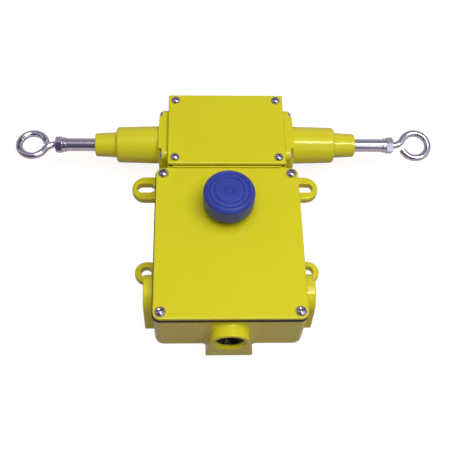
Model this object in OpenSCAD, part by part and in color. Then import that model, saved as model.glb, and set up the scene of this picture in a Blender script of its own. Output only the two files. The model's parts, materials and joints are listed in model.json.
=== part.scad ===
// Rope pull safety switch: a two-compartment cast enclosure with a through pull shaft,
// an eye bolt at each end of the shaft and a push-to-reset mushroom button.
// X runs along the pull shaft, +Y towards the mechanism compartment, +Z out of the covers.
// The origin is the centre of the four mounting holes, on the back face.

/* [Wiring compartment] */
// Width of the wiring compartment
main_w = 133; // [130:0.5:136]
// Length of the wiring compartment
main_l = 152.5; // [150:0.5:155]
// Distance from the mounting centre down to the lower wall
main_drop = 115.7; // [113:0.1:118]
// Depth of the casting from the back to its rims
box_h = 52.6; // [52:0.1:54]
// Wall thickness of the casting
wall = 4.5; // [4:0.1:5]
// Radius of the casting's standing corners
corner_r = 8; // [7:0.5:9]
// Radius of the casting's back edges
back_r = 2; // [1:0.5:4]

/* [Mechanism compartment] */
// Width of the mechanism compartment
mech_w = 112.4; // [110:0.1:114]
// Length of the mechanism compartment
mech_l = 81.5; // [80:0.1:84]
// Gap between the two covers
cover_gap = 4.7; // [4:0.1:6]
// Height of the shaft axis above the back face
rod_z = 31; // [30:0.1:32]

/* [Covers] */
// Thickness of each cover
cover_t = 3.2; // [2.5:0.1:4]
// Thickness of each cover gasket
gasket_t = 3.2; // [2:0.1:3.5]
// Corner radius of the wiring cover
main_cover_r = 6.6; // [5:0.1:8]
// Corner radius of the mechanism cover
mech_cover_r = 1.6; // [1:0.1:4]
// Head diameter of the wiring cover's screws
main_head_d = 9.5; // [8:0.1:10]
// Head diameter of the mechanism cover's screws
mech_head_d = 8.4; // [7:0.1:9]

/* [Mounting lugs] */
// Thickness of the mounting lugs
lug_t = 7.8; // [6:0.1:8]
// Distance between the upper slots, centre to centre
slot_span = 158.2; // [156:0.1:160]
// Distance between the lower holes, centre to centre
hole_span = 152.4; // [151:0.1:154]
// Distance between the upper and the lower pair of holes
hole_rows = 93; // [92:0.1:94]
// End-to-end length of the upper slots
slot_l = 17.4; // [16:0.1:18]
// Width of the upper slots and diameter of the lower holes
hole_d = 10.2; // [9:0.1:11]

/* [Conduit hubs] */
// Radius of the hubs' round front
hub_r = 17.7; // [17:0.1:19]
// Half width of the hubs at the back face
hub_foot = 21.4; // [20:0.1:23]
// Bore radius of the conduit hubs
hub_bore_r = 12.9; // [12:0.1:13.5]
// Radius of the hub's mouth chamfer
hub_mouth_r = 14.8; // [14:0.1:16]
// Height of the hub axis above the back face
hub_z = 29.9; // [29:0.1:31]
// How far the lower hub stands out of its wall
hub_reach = 11.2; // [9:0.1:13]
// How far the side hubs stand out of their walls
side_hub_reach = 9.5; // [8:0.1:11]

/* [Pull shaft] */
// Diameter of the pull shaft
rod_d = 12.7; // [12.7:0.1:13]
// Half length of the pull shaft
rod_half = 157.5; // [155:0.5:160]
// Travel of the pull shaft to either side
pull_travel = 10; // [8:0.5:10]
// Distance between flats of the jam nut
nut_af = 14.3; // [13:0.1:16]
// Thickness of the jam nut
nut_t = 6.8; // [5:0.1:8]
// Wire diameter of the eye bolt
wire_d = 6.6; // [6:0.1:7]
// Mean radius of the eye
eye_r = 13.3; // [12:0.1:14]
// Distance from the mounting centre to the eye's centre
eye_x = 190.6; // [189:0.1:192]
// Turn of the right eye about the shaft axis, in degrees
right_eye_tilt = 12; // [0:1:20]

/* [End housings] */
// Size of the flange plate along Y
flange_w = 57; // [55:0.5:60]
// Size of the flange plate along Z
flange_h = 45; // [44:0.5:46]
// Thickness of the flange plate
flange_t = 5; // [4:0.1:6]
// Radius of the round boss on the flange
boss_r = 26.5; // [25:0.1:27]
// Height of the round boss
boss_t = 3.5; // [3:0.1:5]
// Radius of the large cone at its root and at its shoulder
cone_r = [18.5, 17.4];
// Radius of the small cone at its root and at its shoulder
tip_r = [12.4, 11.3];
// X of the large cone's end
cone_end = 107.4; // [106:0.1:109]
// X of the small cone's end
tip_end = 128.4; // [127:0.1:130]

/* [Reset button] */
// Radius of the mushroom cap
cap_r = 23.1; // [22:0.1:24]
// Height of the cap
cap_h = 16.9; // [15:0.1:18]
// Gap between the cap's skirt and the cover
cap_gap = 10.7; // [9:0.1:12]
// Distance from the mounting centre down to the button axis
cap_drop = 5.9; // [4:0.1:8]
// Stroke of the reset button
reset_travel = 6; // [4:0.5:6]

/* [Hidden] */
$fn = 64;
eps = 0.01;          // overlap that fuses neighbouring solids of one piece
fit = 0.05;          // radial clearance of a running fit
screw_gap = 0.3;     // radial clearance of a screw in its hole

// Colours
paint = "#dcd324";
steel = "#b9bcc2";
plated = "#9a98a6";
rubber = "#3a2f28";
blue = "#3c4ba5";
bronze = "#b58a4a";
moulding = "#2d2d30";
nylon = "#e4e2d8";

// Outline of the casting
main_x = main_w / 2;
main_y0 = -main_drop;
main_y1 = main_y0 + main_l;
mech_x = mech_w / 2;
mech_y0 = main_y1 + cover_gap;
mech_y1 = mech_y0 + mech_l;
rod_y = (mech_y0 + mech_y1) / 2;
rod_r = rod_d / 2;
cover_z = box_h + gasket_t;
top_z = cover_z + cover_t;
inner_r = 3;         // standing corners inside the compartments
gasket_inset = 0.8;
lip_y = [39.4, 40.9];
lip_top = 55.4;      // lip of the dividing wall, between the two gaskets

// Cover screws: distance of the axis from the cover's edges, shank and boss
main_inset = 6.65;
mech_inset = 7;
main_shank_r = 2.3;
mech_shank_r = 2;
main_boss_r = 6.2;
mech_boss_r = 5.4;
screw_grip = 11;     // length of the screw in the casting
head_ratio = 0.34;   // head height for a head diameter of 1
dome_ratio = 0.62;   // dome radius of the head
recess_ratio = [0.56, 0.13]; // length and width of the cross recess

// Mounting lugs
slot_lug_r = 13.3;
slot_lug_reach = 93.1;
hole_lug_r = 10.8;
slot_y = hole_rows / 2;
hole_r = hole_d / 2;

// Conduit hubs
hub_y = main_y0 - hub_reach;
side_hub_x = main_x + side_hub_reach;
side_hub_y = -80;
hub_chamfer = 1.9;
hub_root = 2 * wall; // how deep the hub's form is sunk in the wall
flank_inset = 0.12; // the hub's flanks meet its round front this far inside

// End housings, along +X from the compartment's side wall
end_gasket_t = 1.3;
flange_x = mech_x + end_gasket_t;
flange_corner_r = 6.5;
boss_x = flange_x + flange_t;
cone_x = boss_x + boss_t;
flange_screw_y = 23.5;
flange_screw_z = 17;
flange_head_d = 7.6;
spot_r = 4.6;
spring_bore_r = 15;
spigot_r = 17.4;
spigot_l = 4;
cone_wall = 4.4;
cone_shoulder = 3;
tip_shoulder = 1.5;
bush_r = 9;
seal_t = 3.4;
bush_flange_r = 13;
bush_flange_t = 1.5;
bush_x = cone_end - cone_wall - bush_flange_t;
seal_x = tip_end - 0.5 - seal_t;

// Pull shaft and centring springs
seat_x = 60;
seat_t = 2.5;
seat_r = 13.5;
clip_t = 1.5;
clip_r = 9;
centring_r = 11.3;
centring_wire_r = 1.3;
centring_turns = 7;
collar_r = 11;
collar_half = 9;
drive_pin_r = 3;
tap_r = 3.35;        // tapped hole that takes the eye bolt
tap_depth = 20;
washer_t = 3.6;
washer_r = 7;
washer_split = 1.6;
nut_x = rod_half + washer_t;
nut_turn = 50;       // angle of a corner of the jam nut, about the shaft axis
bend_x = nut_x + nut_t + 0.5;
wire_r = wire_d / 2;
shank_r = wire_r + 0.04;  // the straight stretches lap over the arcs' ends
lap = 0.3;
// The shank's bend and the eye are two arcs, joined by a short straight stretch along their tangent.
tangent_l = 1;
bend_r = ((eye_x - bend_x) ^ 2 - eye_r ^ 2 - tangent_l ^ 2) / (2 * eye_r);
bend_angle = atan2(eye_x - bend_x, bend_r) - atan2(tangent_l, eye_r + bend_r);
eye_end_angle = 146; // the cut end, measured from the far side of the eye

// Trip lever: swings about a post beside the shaft, and its tail drives the contacts
pivot_y = 56;
pivot_r = 4;
pivot_boss_r = 8;
pivot_foot = 15;     // lower end of the pivot pin
lever_z = 42;
lever_t = 4;
lever_hub_r = 8;
lever_half_w = 5;
tail_l = 30;
tail_pin_r = 2;
pin_slack = 0.35;
fork_half_w = 6.5;
window_half_w = pull_travel + 5.5;
window_z = [40, 48];
pin_top = 48;

// Chassis, contact block and carriage in the wiring compartment
post_h = 10;
post_r = 4.5;
chassis_t = 2;
chassis_z = post_h + chassis_t;
chassis_half_w = 53;
chassis_y = [-12, 28];
post_spots = [[-40, -6], [40, -6], [-49, 23], [49, 23]];
small_head_d = 7;
small_shank_r = 1.9;
block_half_w = 44;
block_y = [16.5, 31.5];
block_top = 36;
foot_x = 30;
foot_w = 12;
foot_t = 4;
foot_y = 7.5;
foot_screw_y = 12.5;
strip_y = [20.5, 28];
strip_w = 4;
strip_t = 1;
strip_in = 5;
strip_out = 42;
terminal_x = 36.5;
carriage_half_w = 16;
carriage_y = [18.5, 30.6];
carriage_z = [37.2, 41];
wiper_half_w = 9;
wiper_gap = 0.1;
carriage_ratio = 1.1; // travel of the carriage for a shaft travel of 1
notch_x = carriage_ratio * pull_travel;
notch_half_w = 4.4;
notch_d = 3;

// Latch lever under the reset stem
latch_y = 10;
latch_z = 24;
latch_pin_r = 2.5;
latch_half_w = 6;
arm_half_t = 2;
nose_y = 18.1;
nose_z = [37.4, 40.4];
nose_half_w = 3.6;
pad_end = -9.5;
ear_t = 1.5;
ear_x = 7.4;
ear_r = 6;

// Reset button
cap_y = -cap_drop;
cap_z = top_z + cap_gap;
cap_top = cap_z + cap_h;
cap_rim_r = 2.6;
cap_wall = 2.6;
cap_hub_r = 8;
cap_hollow = 6;      // from the cap's top down to the hollow inside
cap_seat = 8;        // from the cap's top down to the stem's end
stem_r = 5;
stem_top = cap_top - cap_seat;
stem_nose_r = 2.5;
stem_taper = 4;
stem_tip = latch_z + arm_half_t + 0.5;
reset_bush_r = 8;
reset_flange_r = 13;
reset_seal_t = 1;
reset_flange_t = 2.5;
reset_bush_top = top_z + reset_seal_t + reset_flange_t;
reset_bush_end = 50;
reset_nut_t = 3;
reset_nut_af = 24;
reset_spring_solid = 5.5; // height of the reset spring when the button is fully in
cap_hub_z = reset_bush_top + reset_travel + reset_spring_solid;

// Earth terminal
ground_spot = [-44, -94];
ground_z = 9;
ground_post_r = 6;
ground_screw_l = 5.5;

// ---------- shared shapes ----------

// Rectangle from x0,y0 to x1,y1 with round corners.
module rounded_rect(x0, y0, x1, y1, r) {
    translate([x0 + r, y0]) square([x1 - x0 - 2 * r, y1 - y0]);
    translate([x0, y0 + r]) square([x1 - x0, y1 - y0 - 2 * r]);
    for (x = [x0 + r, x1 - r], y = [y0 + r, y1 - r]) translate([x, y]) circle(r);
}

// Upright section whose two lower corners are round.
module tub_section(x0, x1, h, r) {
    translate([x0, r]) square([x1 - x0, h - r]);
    translate([x0 + r, 0]) square([x1 - x0 - 2 * r, h]);
    for (x = [x0 + r, x1 - r]) translate([x, r]) circle(r);
}

// Block that is round on its standing corners and on its back edges.
module tub(x, y0, y1) {
    intersection() {
        linear_extrude(box_h) rounded_rect(-x, y0, x, y1, corner_r);
        translate([0, y1, 0]) rotate([90, 0, 0])
            linear_extrude(y1 - y0) tub_section(-x, x, box_h, back_r);
        translate([-x, 0, 0]) rotate([90, 0, 90])
            linear_extrude(2 * x) tub_section(y0, y1, box_h, back_r);
    }
}

// Cylinder along +X.
module rod_x(x0, x1, r, r2 = undef) {
    translate([x0, 0, 0]) rotate([0, 90, 0])
        cylinder(h = x1 - x0, r1 = r, r2 = is_undef(r2) ? r : r2);
}

// Places its children on the shaft axis.
module on_shaft() {
    translate([0, rod_y, rod_z]) children();
}

// Pan-head screw with a cross recess, head seated on z = 0.
module pan_screw(head_d, shank_r, shank_l) {
    head_h = head_d * head_ratio;
    dome_r = head_d * dome_ratio;
    slot_w = head_d * recess_ratio[1];
    slot_l = head_d * recess_ratio[0];
    difference() {
        intersection() {
            cylinder(h = head_h, d = head_d);
            translate([0, 0, head_h - dome_r]) sphere(dome_r);
        }
        for (a = [0, 90]) rotate(a)
            translate([-slot_l / 2, -slot_w / 2, head_h * 0.5]) cube([slot_l, slot_w, head_h]);
    }
    translate([0, 0, -shank_l]) cylinder(h = shank_l + eps, r = shank_r, $fn = 32);
}

// Ring along +Z.
module ring(r_out, r_in, h) {
    difference() {
        cylinder(h = h, r = r_out);
        translate([0, 0, -1]) cylinder(h = h + 2, r = r_in);
    }
}

// Height of a coil spring's wire after a number of turns: its end turns lie closed.
function coil_height(turn, turns, l, wire_r) =
    let (closed = 2 * wire_r, span = l - 2 * wire_r, active = turns - 2)
    wire_r + (turn < 1 ? turn * closed
        : turn > turns - 1 ? span - (turns - turn) * closed
        : closed + (turn - 1) * (span - 2 * closed) / active);

// Compression spring along +Z, from z = 0 to z = l.
module coil_spring(l, mean_r, wire_r, turns, sides = 8, steps = 14) {
    count = round(turns * steps);
    points = [for (i = [0 : count], k = [0 : sides - 1])
        let (t = i / steps, a = 360 * t, b = 360 * k / sides, r = mean_r + wire_r * cos(b))
        [r * cos(a), r * sin(a), coil_height(t, turns, l, wire_r) + wire_r * sin(b)]];
    skin = [for (i = [0 : count - 1], k = [0 : sides - 1])
        let (n = (k + 1) % sides)
        [i * sides + k, i * sides + n, (i + 1) * sides + n, (i + 1) * sides + k]];
    first = [[for (k = [sides - 1 : -1 : 0]) k]];
    last = [[for (k = [0 : sides - 1]) count * sides + k]];
    polyhedron(points, concat(skin, first, last), convexity = 10);
}

// Both corners of a pair, mirrored about the YZ plane.
module both_sides() {
    children();
    mirror([1, 0, 0]) children();
}

function main_screw_spots() =
    [for (x = [-1, 1], y = [main_y0 + main_inset, main_y1 - main_inset])
        [x * (main_x - main_inset), y]];
function mech_screw_spots() =
    [for (x = [-1, 1], y = [mech_y0 + mech_inset, mech_y1 - mech_inset])
        [x * (mech_x - mech_inset), y]];
function flange_screw_spots() =
    [for (y = [-1, 1], z = [-1, 1]) [y * flange_screw_y, z * flange_screw_z]];

// ---------- casting ----------

// Plan of an ear that reaches out from the middle of the casting to x_end.
module ear_plan(x_end, r) {
    translate([0, -r]) square([x_end - r, 2 * r]);
    translate([x_end - r, 0]) circle(r);
}

module slot_plan() {
    half = (slot_l - hole_d) / 2;
    translate([-half, -hole_r]) square([2 * half, hole_d]);
    for (x = [-half, half]) translate([x, 0]) circle(hole_r);
}

module lugs() {
    both_sides() {
        translate([0, slot_y, 0]) linear_extrude(lug_t) ear_plan(slot_lug_reach, slot_lug_r);
        translate([0, -slot_y, 0])
            linear_extrude(lug_t) ear_plan(hole_span / 2 + hole_lug_r, hole_lug_r);
    }
}

module lug_holes() {
    both_sides() {
        translate([slot_span / 2, slot_y, -1]) linear_extrude(lug_t + 2) slot_plan();
        translate([hole_span / 2, -slot_y, -1]) cylinder(h = lug_t + 2, r = hole_r);
    }
}

// Top of the hub's straight flank, which rises from the foot and crosses the round front just inside it.
function flank_top() =
    let (r = hub_r - flank_inset, a = atan2(hub_foot, hub_z) + acos(r / norm([hub_foot, hub_z])))
    [r * sin(a), hub_z - r * cos(a)];

// Conduit hub pointing along -Y with its face at y = 0: round in front, wider at the back.
module hub_form(l) {
    top = flank_top();
    translate([0, l, 0]) rotate([90, 0, 0]) linear_extrude(l) {
        translate([0, hub_z]) circle(hub_r);
        polygon([[-hub_foot, 0], [hub_foot, 0], top, [-top[0], top[1]]]);
    }
}

module hub_bore(l) {
    translate([0, l, hub_z]) rotate([90, 0, 0]) cylinder(h = l + 1, r = hub_bore_r);
    translate([0, hub_chamfer, hub_z]) rotate([90, 0, 0])
        cylinder(h = hub_chamfer + eps, r1 = hub_bore_r, r2 = hub_mouth_r);
}

// Places its child at the lower hub and at both side hubs.
module at_hubs() {
    translate([0, hub_y, 0]) children();
    translate([side_hub_x, side_hub_y, 0]) rotate(90) children();
    translate([-side_hub_x, side_hub_y, 0]) rotate(-90) children();
}

module compartment(x, y0, y1, spots, boss_r) {
    difference() {
        translate([0, 0, wall]) linear_extrude(box_h)
            rounded_rect(-x + wall, y0 + wall, x - wall, y1 - wall, inner_r);
        for (p = spots) translate([p[0], p[1], 0]) cylinder(h = box_h + wall + 1, r = boss_r);
    }
}

module screw_holes(spots, r) {
    for (p = spots) translate([p[0], p[1], box_h - screw_grip - 1]) cylinder(h = screw_grip + 2, r = r);
}

module body_casting() {
    color(paint) difference() {
        union() {
            difference() {
                union() {
                    tub(main_x, main_y0, main_y1);
                    tub(mech_x, 0, mech_y1);
                    lugs();
                    at_hubs() hub_form(hub_root + hub_reach);
                }
                compartment(main_x, main_y0, main_y1, main_screw_spots(), main_boss_r);
                compartment(mech_x, mech_y0, mech_y1, mech_screw_spots(), mech_boss_r);
            }
            translate([0, pivot_y, 0]) cylinder(h = lever_z - 1, r = pivot_boss_r);
            for (p = post_spots) translate([p[0], p[1], 1]) cylinder(h = post_h - 1, r = post_r);
            translate([ground_spot[0], ground_spot[1], 1])
                cylinder(h = ground_z - 1, r = ground_post_r);
            translate([-mech_x + wall, lip_y[0], box_h - 1])
                cube([2 * (mech_x - wall), lip_y[1] - lip_y[0], lip_top - box_h + 1]);
        }
        lug_holes();
        at_hubs() hub_bore(hub_root + hub_reach + 4);
        both_sides() on_shaft() {
            rod_x(mech_x - wall - 1, mech_x + 1, spigot_r + fit);
            for (p = flange_screw_spots()) translate([0, p[0], p[1]])
                rod_x(mech_x - wall - 1, mech_x + 1, small_shank_r);
        }
        screw_holes(main_screw_spots(), main_shank_r);
        screw_holes(mech_screw_spots(), mech_shank_r);
        for (p = post_spots) translate([p[0], p[1], 3]) cylinder(h = post_h, r = small_shank_r);
        translate([ground_spot[0], ground_spot[1], 3]) cylinder(h = ground_z, r = main_shank_r);
        translate([0, pivot_y, pivot_foot]) cylinder(h = box_h, r = pivot_r);
        translate([-window_half_w, main_y1 - wall - 1, window_z[0]])
            cube([2 * window_half_w, cover_gap + 2 * wall + 2, window_z[1] - window_z[0]]);
    }
}

// ---------- covers and gaskets ----------

module cover(x, y0, y1, r, spots, shank_r) {
    linear_extrude(cover_t) difference() {
        rounded_rect(-x, y0, x, y1, r);
        for (p = spots) translate(p) circle(shank_r + screw_gap);
    }
}

module main_cover() {
    color(paint) translate([0, 0, cover_z]) difference() {
        cover(main_x, main_y0, main_y1, main_cover_r, main_screw_spots(), main_shank_r);
        translate([0, cap_y, -1]) cylinder(h = cover_t + 2, r = reset_bush_r + fit);
    }
}

module mechanism_cover() {
    color(paint) translate([0, 0, cover_z])
        cover(mech_x, mech_y0, mech_y1, mech_cover_r, mech_screw_spots(), mech_shank_r);
}

module cover_gasket(x, y0, y1, r, spots, shank_r, boss_r) {
    linear_extrude(gasket_t) difference() {
        rounded_rect(-x + gasket_inset, y0 + gasket_inset, x - gasket_inset, y1 - gasket_inset, r);
        difference() {
            translate([-x + wall, y0 + wall]) square([2 * (x - wall), y1 - y0 - 2 * wall]);
            for (p = spots) translate(p) circle(boss_r);
        }
        for (p = spots) translate(p) circle(shank_r + screw_gap);
    }
}

module main_gasket() {
    color(rubber) translate([0, 0, box_h])
        cover_gasket(main_x, main_y0, main_y1, main_cover_r, main_screw_spots(),
            main_shank_r, main_boss_r);
}

module mechanism_gasket() {
    color(rubber) translate([0, 0, box_h])
        cover_gasket(mech_x, mech_y0, mech_y1, mech_cover_r, mech_screw_spots(),
            mech_shank_r, mech_boss_r);
}

module main_cover_screws() {
    color(steel) for (p = main_screw_spots()) translate([p[0], p[1], top_z])
        pan_screw(main_head_d, main_shank_r, screw_grip + gasket_t + cover_t);
}

module mechanism_cover_screws() {
    color(steel) for (p = mech_screw_spots()) translate([p[0], p[1], top_z])
        pan_screw(mech_head_d, mech_shank_r, screw_grip + gasket_t + cover_t);
}

// ---------- end housings ----------

// Plan of the flange in Y and Z, extruded along +X.
module flange_form(t, inset = 0) {
    rotate([90, 0, 90]) linear_extrude(t)
        rounded_rect(-flange_w / 2 + inset, -flange_h / 2 + inset,
            flange_w / 2 - inset, flange_h / 2 - inset, flange_corner_r - inset);
}

// Cone along +X with a bevelled shoulder at its end.
module turned_cone(x0, x1, r, shoulder) {
    rod_x(x0, x1 - shoulder, r[0], r[1]);
    rod_x(x1 - shoulder - eps, x1, r[1], r[1] - shoulder);
}

module end_housing() {
    on_shaft() difference() {
        union() {
            translate([flange_x, 0, 0]) flange_form(flange_t);
            intersection() {
                translate([boss_x - eps, 0, 0]) flange_form(boss_t + eps);
                rod_x(boss_x - 1, cone_x, boss_r);
            }
            turned_cone(cone_x - eps, cone_end, cone_r, cone_shoulder);
            turned_cone(cone_end - eps, tip_end, tip_r, tip_shoulder);
            rod_x(flange_x - spigot_l - end_gasket_t, flange_x + eps, spigot_r);
        }
        rod_x(flange_x - 10, cone_end - cone_wall, spring_bore_r);
        rod_x(cone_end - 10, tip_end + 1, bush_r);
        for (p = flange_screw_spots()) translate([0, p[0], p[1]]) {
            rod_x(boss_x, cone_x + 1, spot_r);
            rod_x(flange_x - 1, boss_x + 1, small_shank_r + screw_gap);
        }
    }
}

module left_end_housing() { color(paint) mirror([1, 0, 0]) end_housing(); }
module right_end_housing() { color(paint) end_housing(); }

module end_gasket() {
    on_shaft() difference() {
        translate([mech_x, 0, 0]) flange_form(end_gasket_t, 0.6);
        rod_x(mech_x - 1, flange_x + 1, spigot_r + fit);
        for (p = flange_screw_spots()) translate([0, p[0], p[1]])
            rod_x(mech_x - 1, flange_x + 1, small_shank_r + screw_gap);
    }
}

module left_end_gasket() { color(rubber) mirror([1, 0, 0]) end_gasket(); }
module right_end_gasket() { color(rubber) end_gasket(); }

module end_screws() {
    on_shaft() for (p = flange_screw_spots()) translate([boss_x, p[0], p[1]]) rotate([0, 90, 0])
        pan_screw(flange_head_d, small_shank_r, flange_t + end_gasket_t + wall);
}

module left_end_screws() { color(steel) mirror([1, 0, 0]) end_screws(); }
module right_end_screws() { color(steel) end_screws(); }

module end_bush() {
    on_shaft() difference() {
        union() {
            rod_x(bush_x, seal_x, bush_r);
            rod_x(bush_x, bush_x + bush_flange_t, bush_flange_r);
        }
        rod_x(bush_x - 1, seal_x + 1, rod_r + fit);
    }
}

module left_end_bush() { color(bronze) mirror([1, 0, 0]) end_bush(); }
module right_end_bush() { color(bronze) end_bush(); }

module rod_seal() {
    on_shaft() difference() {
        rod_x(seal_x, seal_x + seal_t, bush_r);
        rod_x(seal_x - 1, tip_end, rod_r + fit);
    }
}

module left_rod_seal() { color(rubber) mirror([1, 0, 0]) rod_seal(); }
module right_rod_seal() { color(rubber) rod_seal(); }

module centring_spring() {
    start = seat_x + seat_t;
    on_shaft() translate([start, 0, 0]) rotate([0, 90, 0])
        coil_spring(bush_x - start, centring_r, centring_wire_r, centring_turns);
}

module left_centring_spring() { color(steel) mirror([1, 0, 0]) centring_spring(); }
module right_centring_spring() { color(steel) centring_spring(); }

// ---------- pull shaft ----------

module pull_shaft() {
    color(plated) on_shaft() difference() {
        rod_x(-rod_half, rod_half, rod_r);
        both_sides() {
            rod_x(rod_half - tap_depth, rod_half + 1, tap_r);
            rod_x(rod_half - 0.8, rod_half + eps, tap_r, tap_r + 0.8);
        }
        translate([0, 0, -rod_r - 1]) cylinder(h = rod_d + 2, r = drive_pin_r);
    }
}

module shift_collar() {
    color(steel) on_shaft() difference() {
        rod_x(-collar_half, collar_half, collar_r);
        rod_x(-collar_half - 1, collar_half + 1, rod_r);
        translate([0, 0, -rod_r - 1]) cylinder(h = rod_r + 2 + collar_r, r = drive_pin_r);
    }
}

module drive_pin() {
    color(plated) translate([0, rod_y, rod_z - rod_r])
        cylinder(h = pin_top - rod_z + rod_r, r = drive_pin_r);
}

module spring_seat() {
    on_shaft() difference() {
        rod_x(seat_x, seat_x + seat_t, seat_r);
        rod_x(seat_x - 1, seat_x + seat_t + 1, rod_r);
    }
}

module left_spring_seat() { color(steel) mirror([1, 0, 0]) spring_seat(); }
module right_spring_seat() { color(steel) spring_seat(); }

// Open retaining ring behind the spring seat.
module seat_clip() {
    on_shaft() difference() {
        rod_x(seat_x - clip_t, seat_x, clip_r);
        rod_x(seat_x - clip_t - 1, seat_x + 1, rod_r);
        translate([seat_x - clip_t - 1, -3, 0]) cube([clip_t + 2, 6, clip_r + 1]);
    }
}

module left_seat_clip() { color(plated) mirror([1, 0, 0]) seat_clip(); }
module right_seat_clip() { color(plated) seat_clip(); }

// Split spring washer between the shaft's end and the jam nut.
module lock_washer() {
    on_shaft() difference() {
        rod_x(rod_half, nut_x, washer_r);
        rod_x(rod_half - 1, nut_x + 1, tap_r + 0.3);
        rotate([nut_turn, 0, 0]) translate([rod_half - 1, 0, -washer_split / 2])
            cube([washer_t + 2, washer_r + 1, washer_split]);
    }
}

module left_lock_washer() { color(plated) mirror([1, 0, 0]) lock_washer(); }
module right_lock_washer() { color(plated) lock_washer(); }

// Hexagon nut whose corners are turned off at both faces.
module jam_nut() {
    corner = nut_af / 2 / cos(30);
    chamfer = 1;
    on_shaft() difference() {
        intersection() {
            rotate([nut_turn, 0, 0]) translate([nut_x, 0, 0]) rotate([90, 0, 90])
                cylinder(h = nut_t, r = corner, $fn = 6);
            union() {
                rod_x(nut_x, nut_x + chamfer, nut_af / 2 + 0.1, corner + 0.1);
                rod_x(nut_x + chamfer, nut_x + nut_t - chamfer, corner + 0.1);
                rod_x(nut_x + nut_t - chamfer, nut_x + nut_t, corner + 0.1, nut_af / 2 + 0.1);
            }
        }
        rod_x(nut_x - 1, nut_x + nut_t + 1, tap_r);
    }
}

module left_jam_nut() { color(plated) mirror([1, 0, 0]) jam_nut(); }
module right_jam_nut() { color(plated) jam_nut(); }

// Wire arc in the XY plane about the origin, from angle a0 through sweep degrees.
module wire_arc(r, a0, sweep) {
    rotate(a0) rotate_extrude(angle = sweep) translate([r, 0]) circle(wire_r, $fn = 32);
}

// Eye bolt: threaded shank, one bend away from the axis, then an open eye centred on the axis.
module eye_bolt() {
    rod_x(rod_half - tap_depth + 2, bend_x + lap, shank_r);
    translate([bend_x, bend_r, 0]) {
        wire_arc(bend_r, -90, bend_angle);
        rotate(bend_angle) translate([0, -bend_r, 0])
            rod_x(-lap, tangent_l + lap, shank_r);
    }
    translate([eye_x, 0, 0])
        wire_arc(eye_r, -eye_end_angle, eye_end_angle + 90 + bend_angle);
}

module left_eye_bolt() { color(plated) on_shaft() rotate(180) eye_bolt(); }
module right_eye_bolt() { color(plated) on_shaft() rotate([right_eye_tilt, 0, 0]) eye_bolt(); }

// ---------- trip lever ----------

module trip_pivot_pin() {
    color(steel) translate([0, pivot_y, pivot_foot])
        cylinder(h = pin_top + 1 - pivot_foot, r = pivot_r);
}

module pivot_clip() {
    color(plated) translate([0, pivot_y, lever_z + lever_t + 0.4]) difference() {
        ring(pivot_r + 2.4, pivot_r, 1);
        translate([0, -2, -1]) cube([10, 4, 3]);
    }
}

// Forked lever: the fork takes the drive pin, the tail reaches through the dividing wall.
module trip_lever() {
    reach = rod_y - pivot_y;
    color(steel) translate([0, pivot_y, lever_z]) difference() {
        union() {
            cylinder(h = lever_t, r = lever_hub_r);
            linear_extrude(lever_t) {
                translate([-lever_half_w, -tail_l]) square([2 * lever_half_w, tail_l]);
                translate([0, -tail_l]) circle(lever_half_w);
                translate([-fork_half_w, 0]) square([2 * fork_half_w, reach + 7]);
            }
        }
        translate([0, 0, -1]) cylinder(h = lever_t + 2, r = pivot_r + fit);
        translate([0, -tail_l, -1]) cylinder(h = lever_t + 2, r = tail_pin_r);
        translate([0, 0, -1]) linear_extrude(lever_t + 2) {
            translate([0, reach - 1]) circle(drive_pin_r + pin_slack);
            translate([-drive_pin_r - pin_slack, reach - 1])
                square([2 * (drive_pin_r + pin_slack), 10]);
        }
    }
}

module tail_pin() {
    color(plated) translate([0, pivot_y - tail_l, carriage_z[0] + 0.8])
        cylinder(h = lever_z + lever_t - carriage_z[0] - 0.8, r = tail_pin_r);
}

// ---------- contact set ----------

module chassis_plate() {
    color(steel) translate([0, 0, post_h]) linear_extrude(chassis_t) difference() {
        rounded_rect(-chassis_half_w, chassis_y[0], chassis_half_w, chassis_y[1], 3);
        for (p = post_spots) translate(p) circle(small_shank_r + screw_gap);
        for (x = [-foot_x, foot_x]) translate([x, foot_screw_y]) circle(small_shank_r);
    }
}

module chassis_screws() {
    color(steel) for (p = post_spots) translate([p[0], p[1], chassis_z])
        pan_screw(small_head_d, small_shank_r, 7);
}

module contact_block() {
    color(moulding) difference() {
        union() {
            translate([-block_half_w, block_y[0], chassis_z])
                cube([2 * block_half_w, block_y[1] - block_y[0], block_top - chassis_z]);
            for (x = [-foot_x, foot_x]) translate([x - foot_w / 2, foot_y, chassis_z])
                cube([foot_w, block_y[0] - foot_y + eps, foot_t]);
        }
        for (x = [-foot_x, foot_x]) translate([x, foot_screw_y, chassis_z - 1])
            cylinder(h = foot_t + 2, r = small_shank_r + 0.2);
        for (y = strip_y, s = [-1, 1]) strip(y, s, strip_t + 1);
        for (y = strip_y, x = [-terminal_x, terminal_x]) translate([x, y, block_top - 8])
            cylinder(h = 9, r = small_shank_r);
    }
}

// Brass strip from a terminal to the wiping track, on one side of the block's top.
module strip(y, side, t) {
    x0 = side > 0 ? strip_in : -strip_out;
    translate([x0, y - strip_w / 2, block_top - strip_t]) cube([strip_out - strip_in, strip_w, t]);
}

module fixed_contacts() {
    color(bronze) difference() {
        for (y = strip_y, s = [-1, 1]) strip(y, s, strip_t);
        for (y = strip_y, x = [-terminal_x, terminal_x]) translate([x, y, block_top - 8])
            cylinder(h = 9, r = small_shank_r);
    }
}

module terminal_screws() {
    color(steel) for (y = strip_y, x = [-terminal_x, terminal_x]) translate([x, y, block_top])
        pan_screw(6.6, small_shank_r, 7);
}

module block_screws() {
    color(steel) for (x = [-foot_x, foot_x]) translate([x, foot_screw_y, chassis_z + foot_t])
        pan_screw(small_head_d, small_shank_r, foot_t + chassis_t);
}

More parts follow.
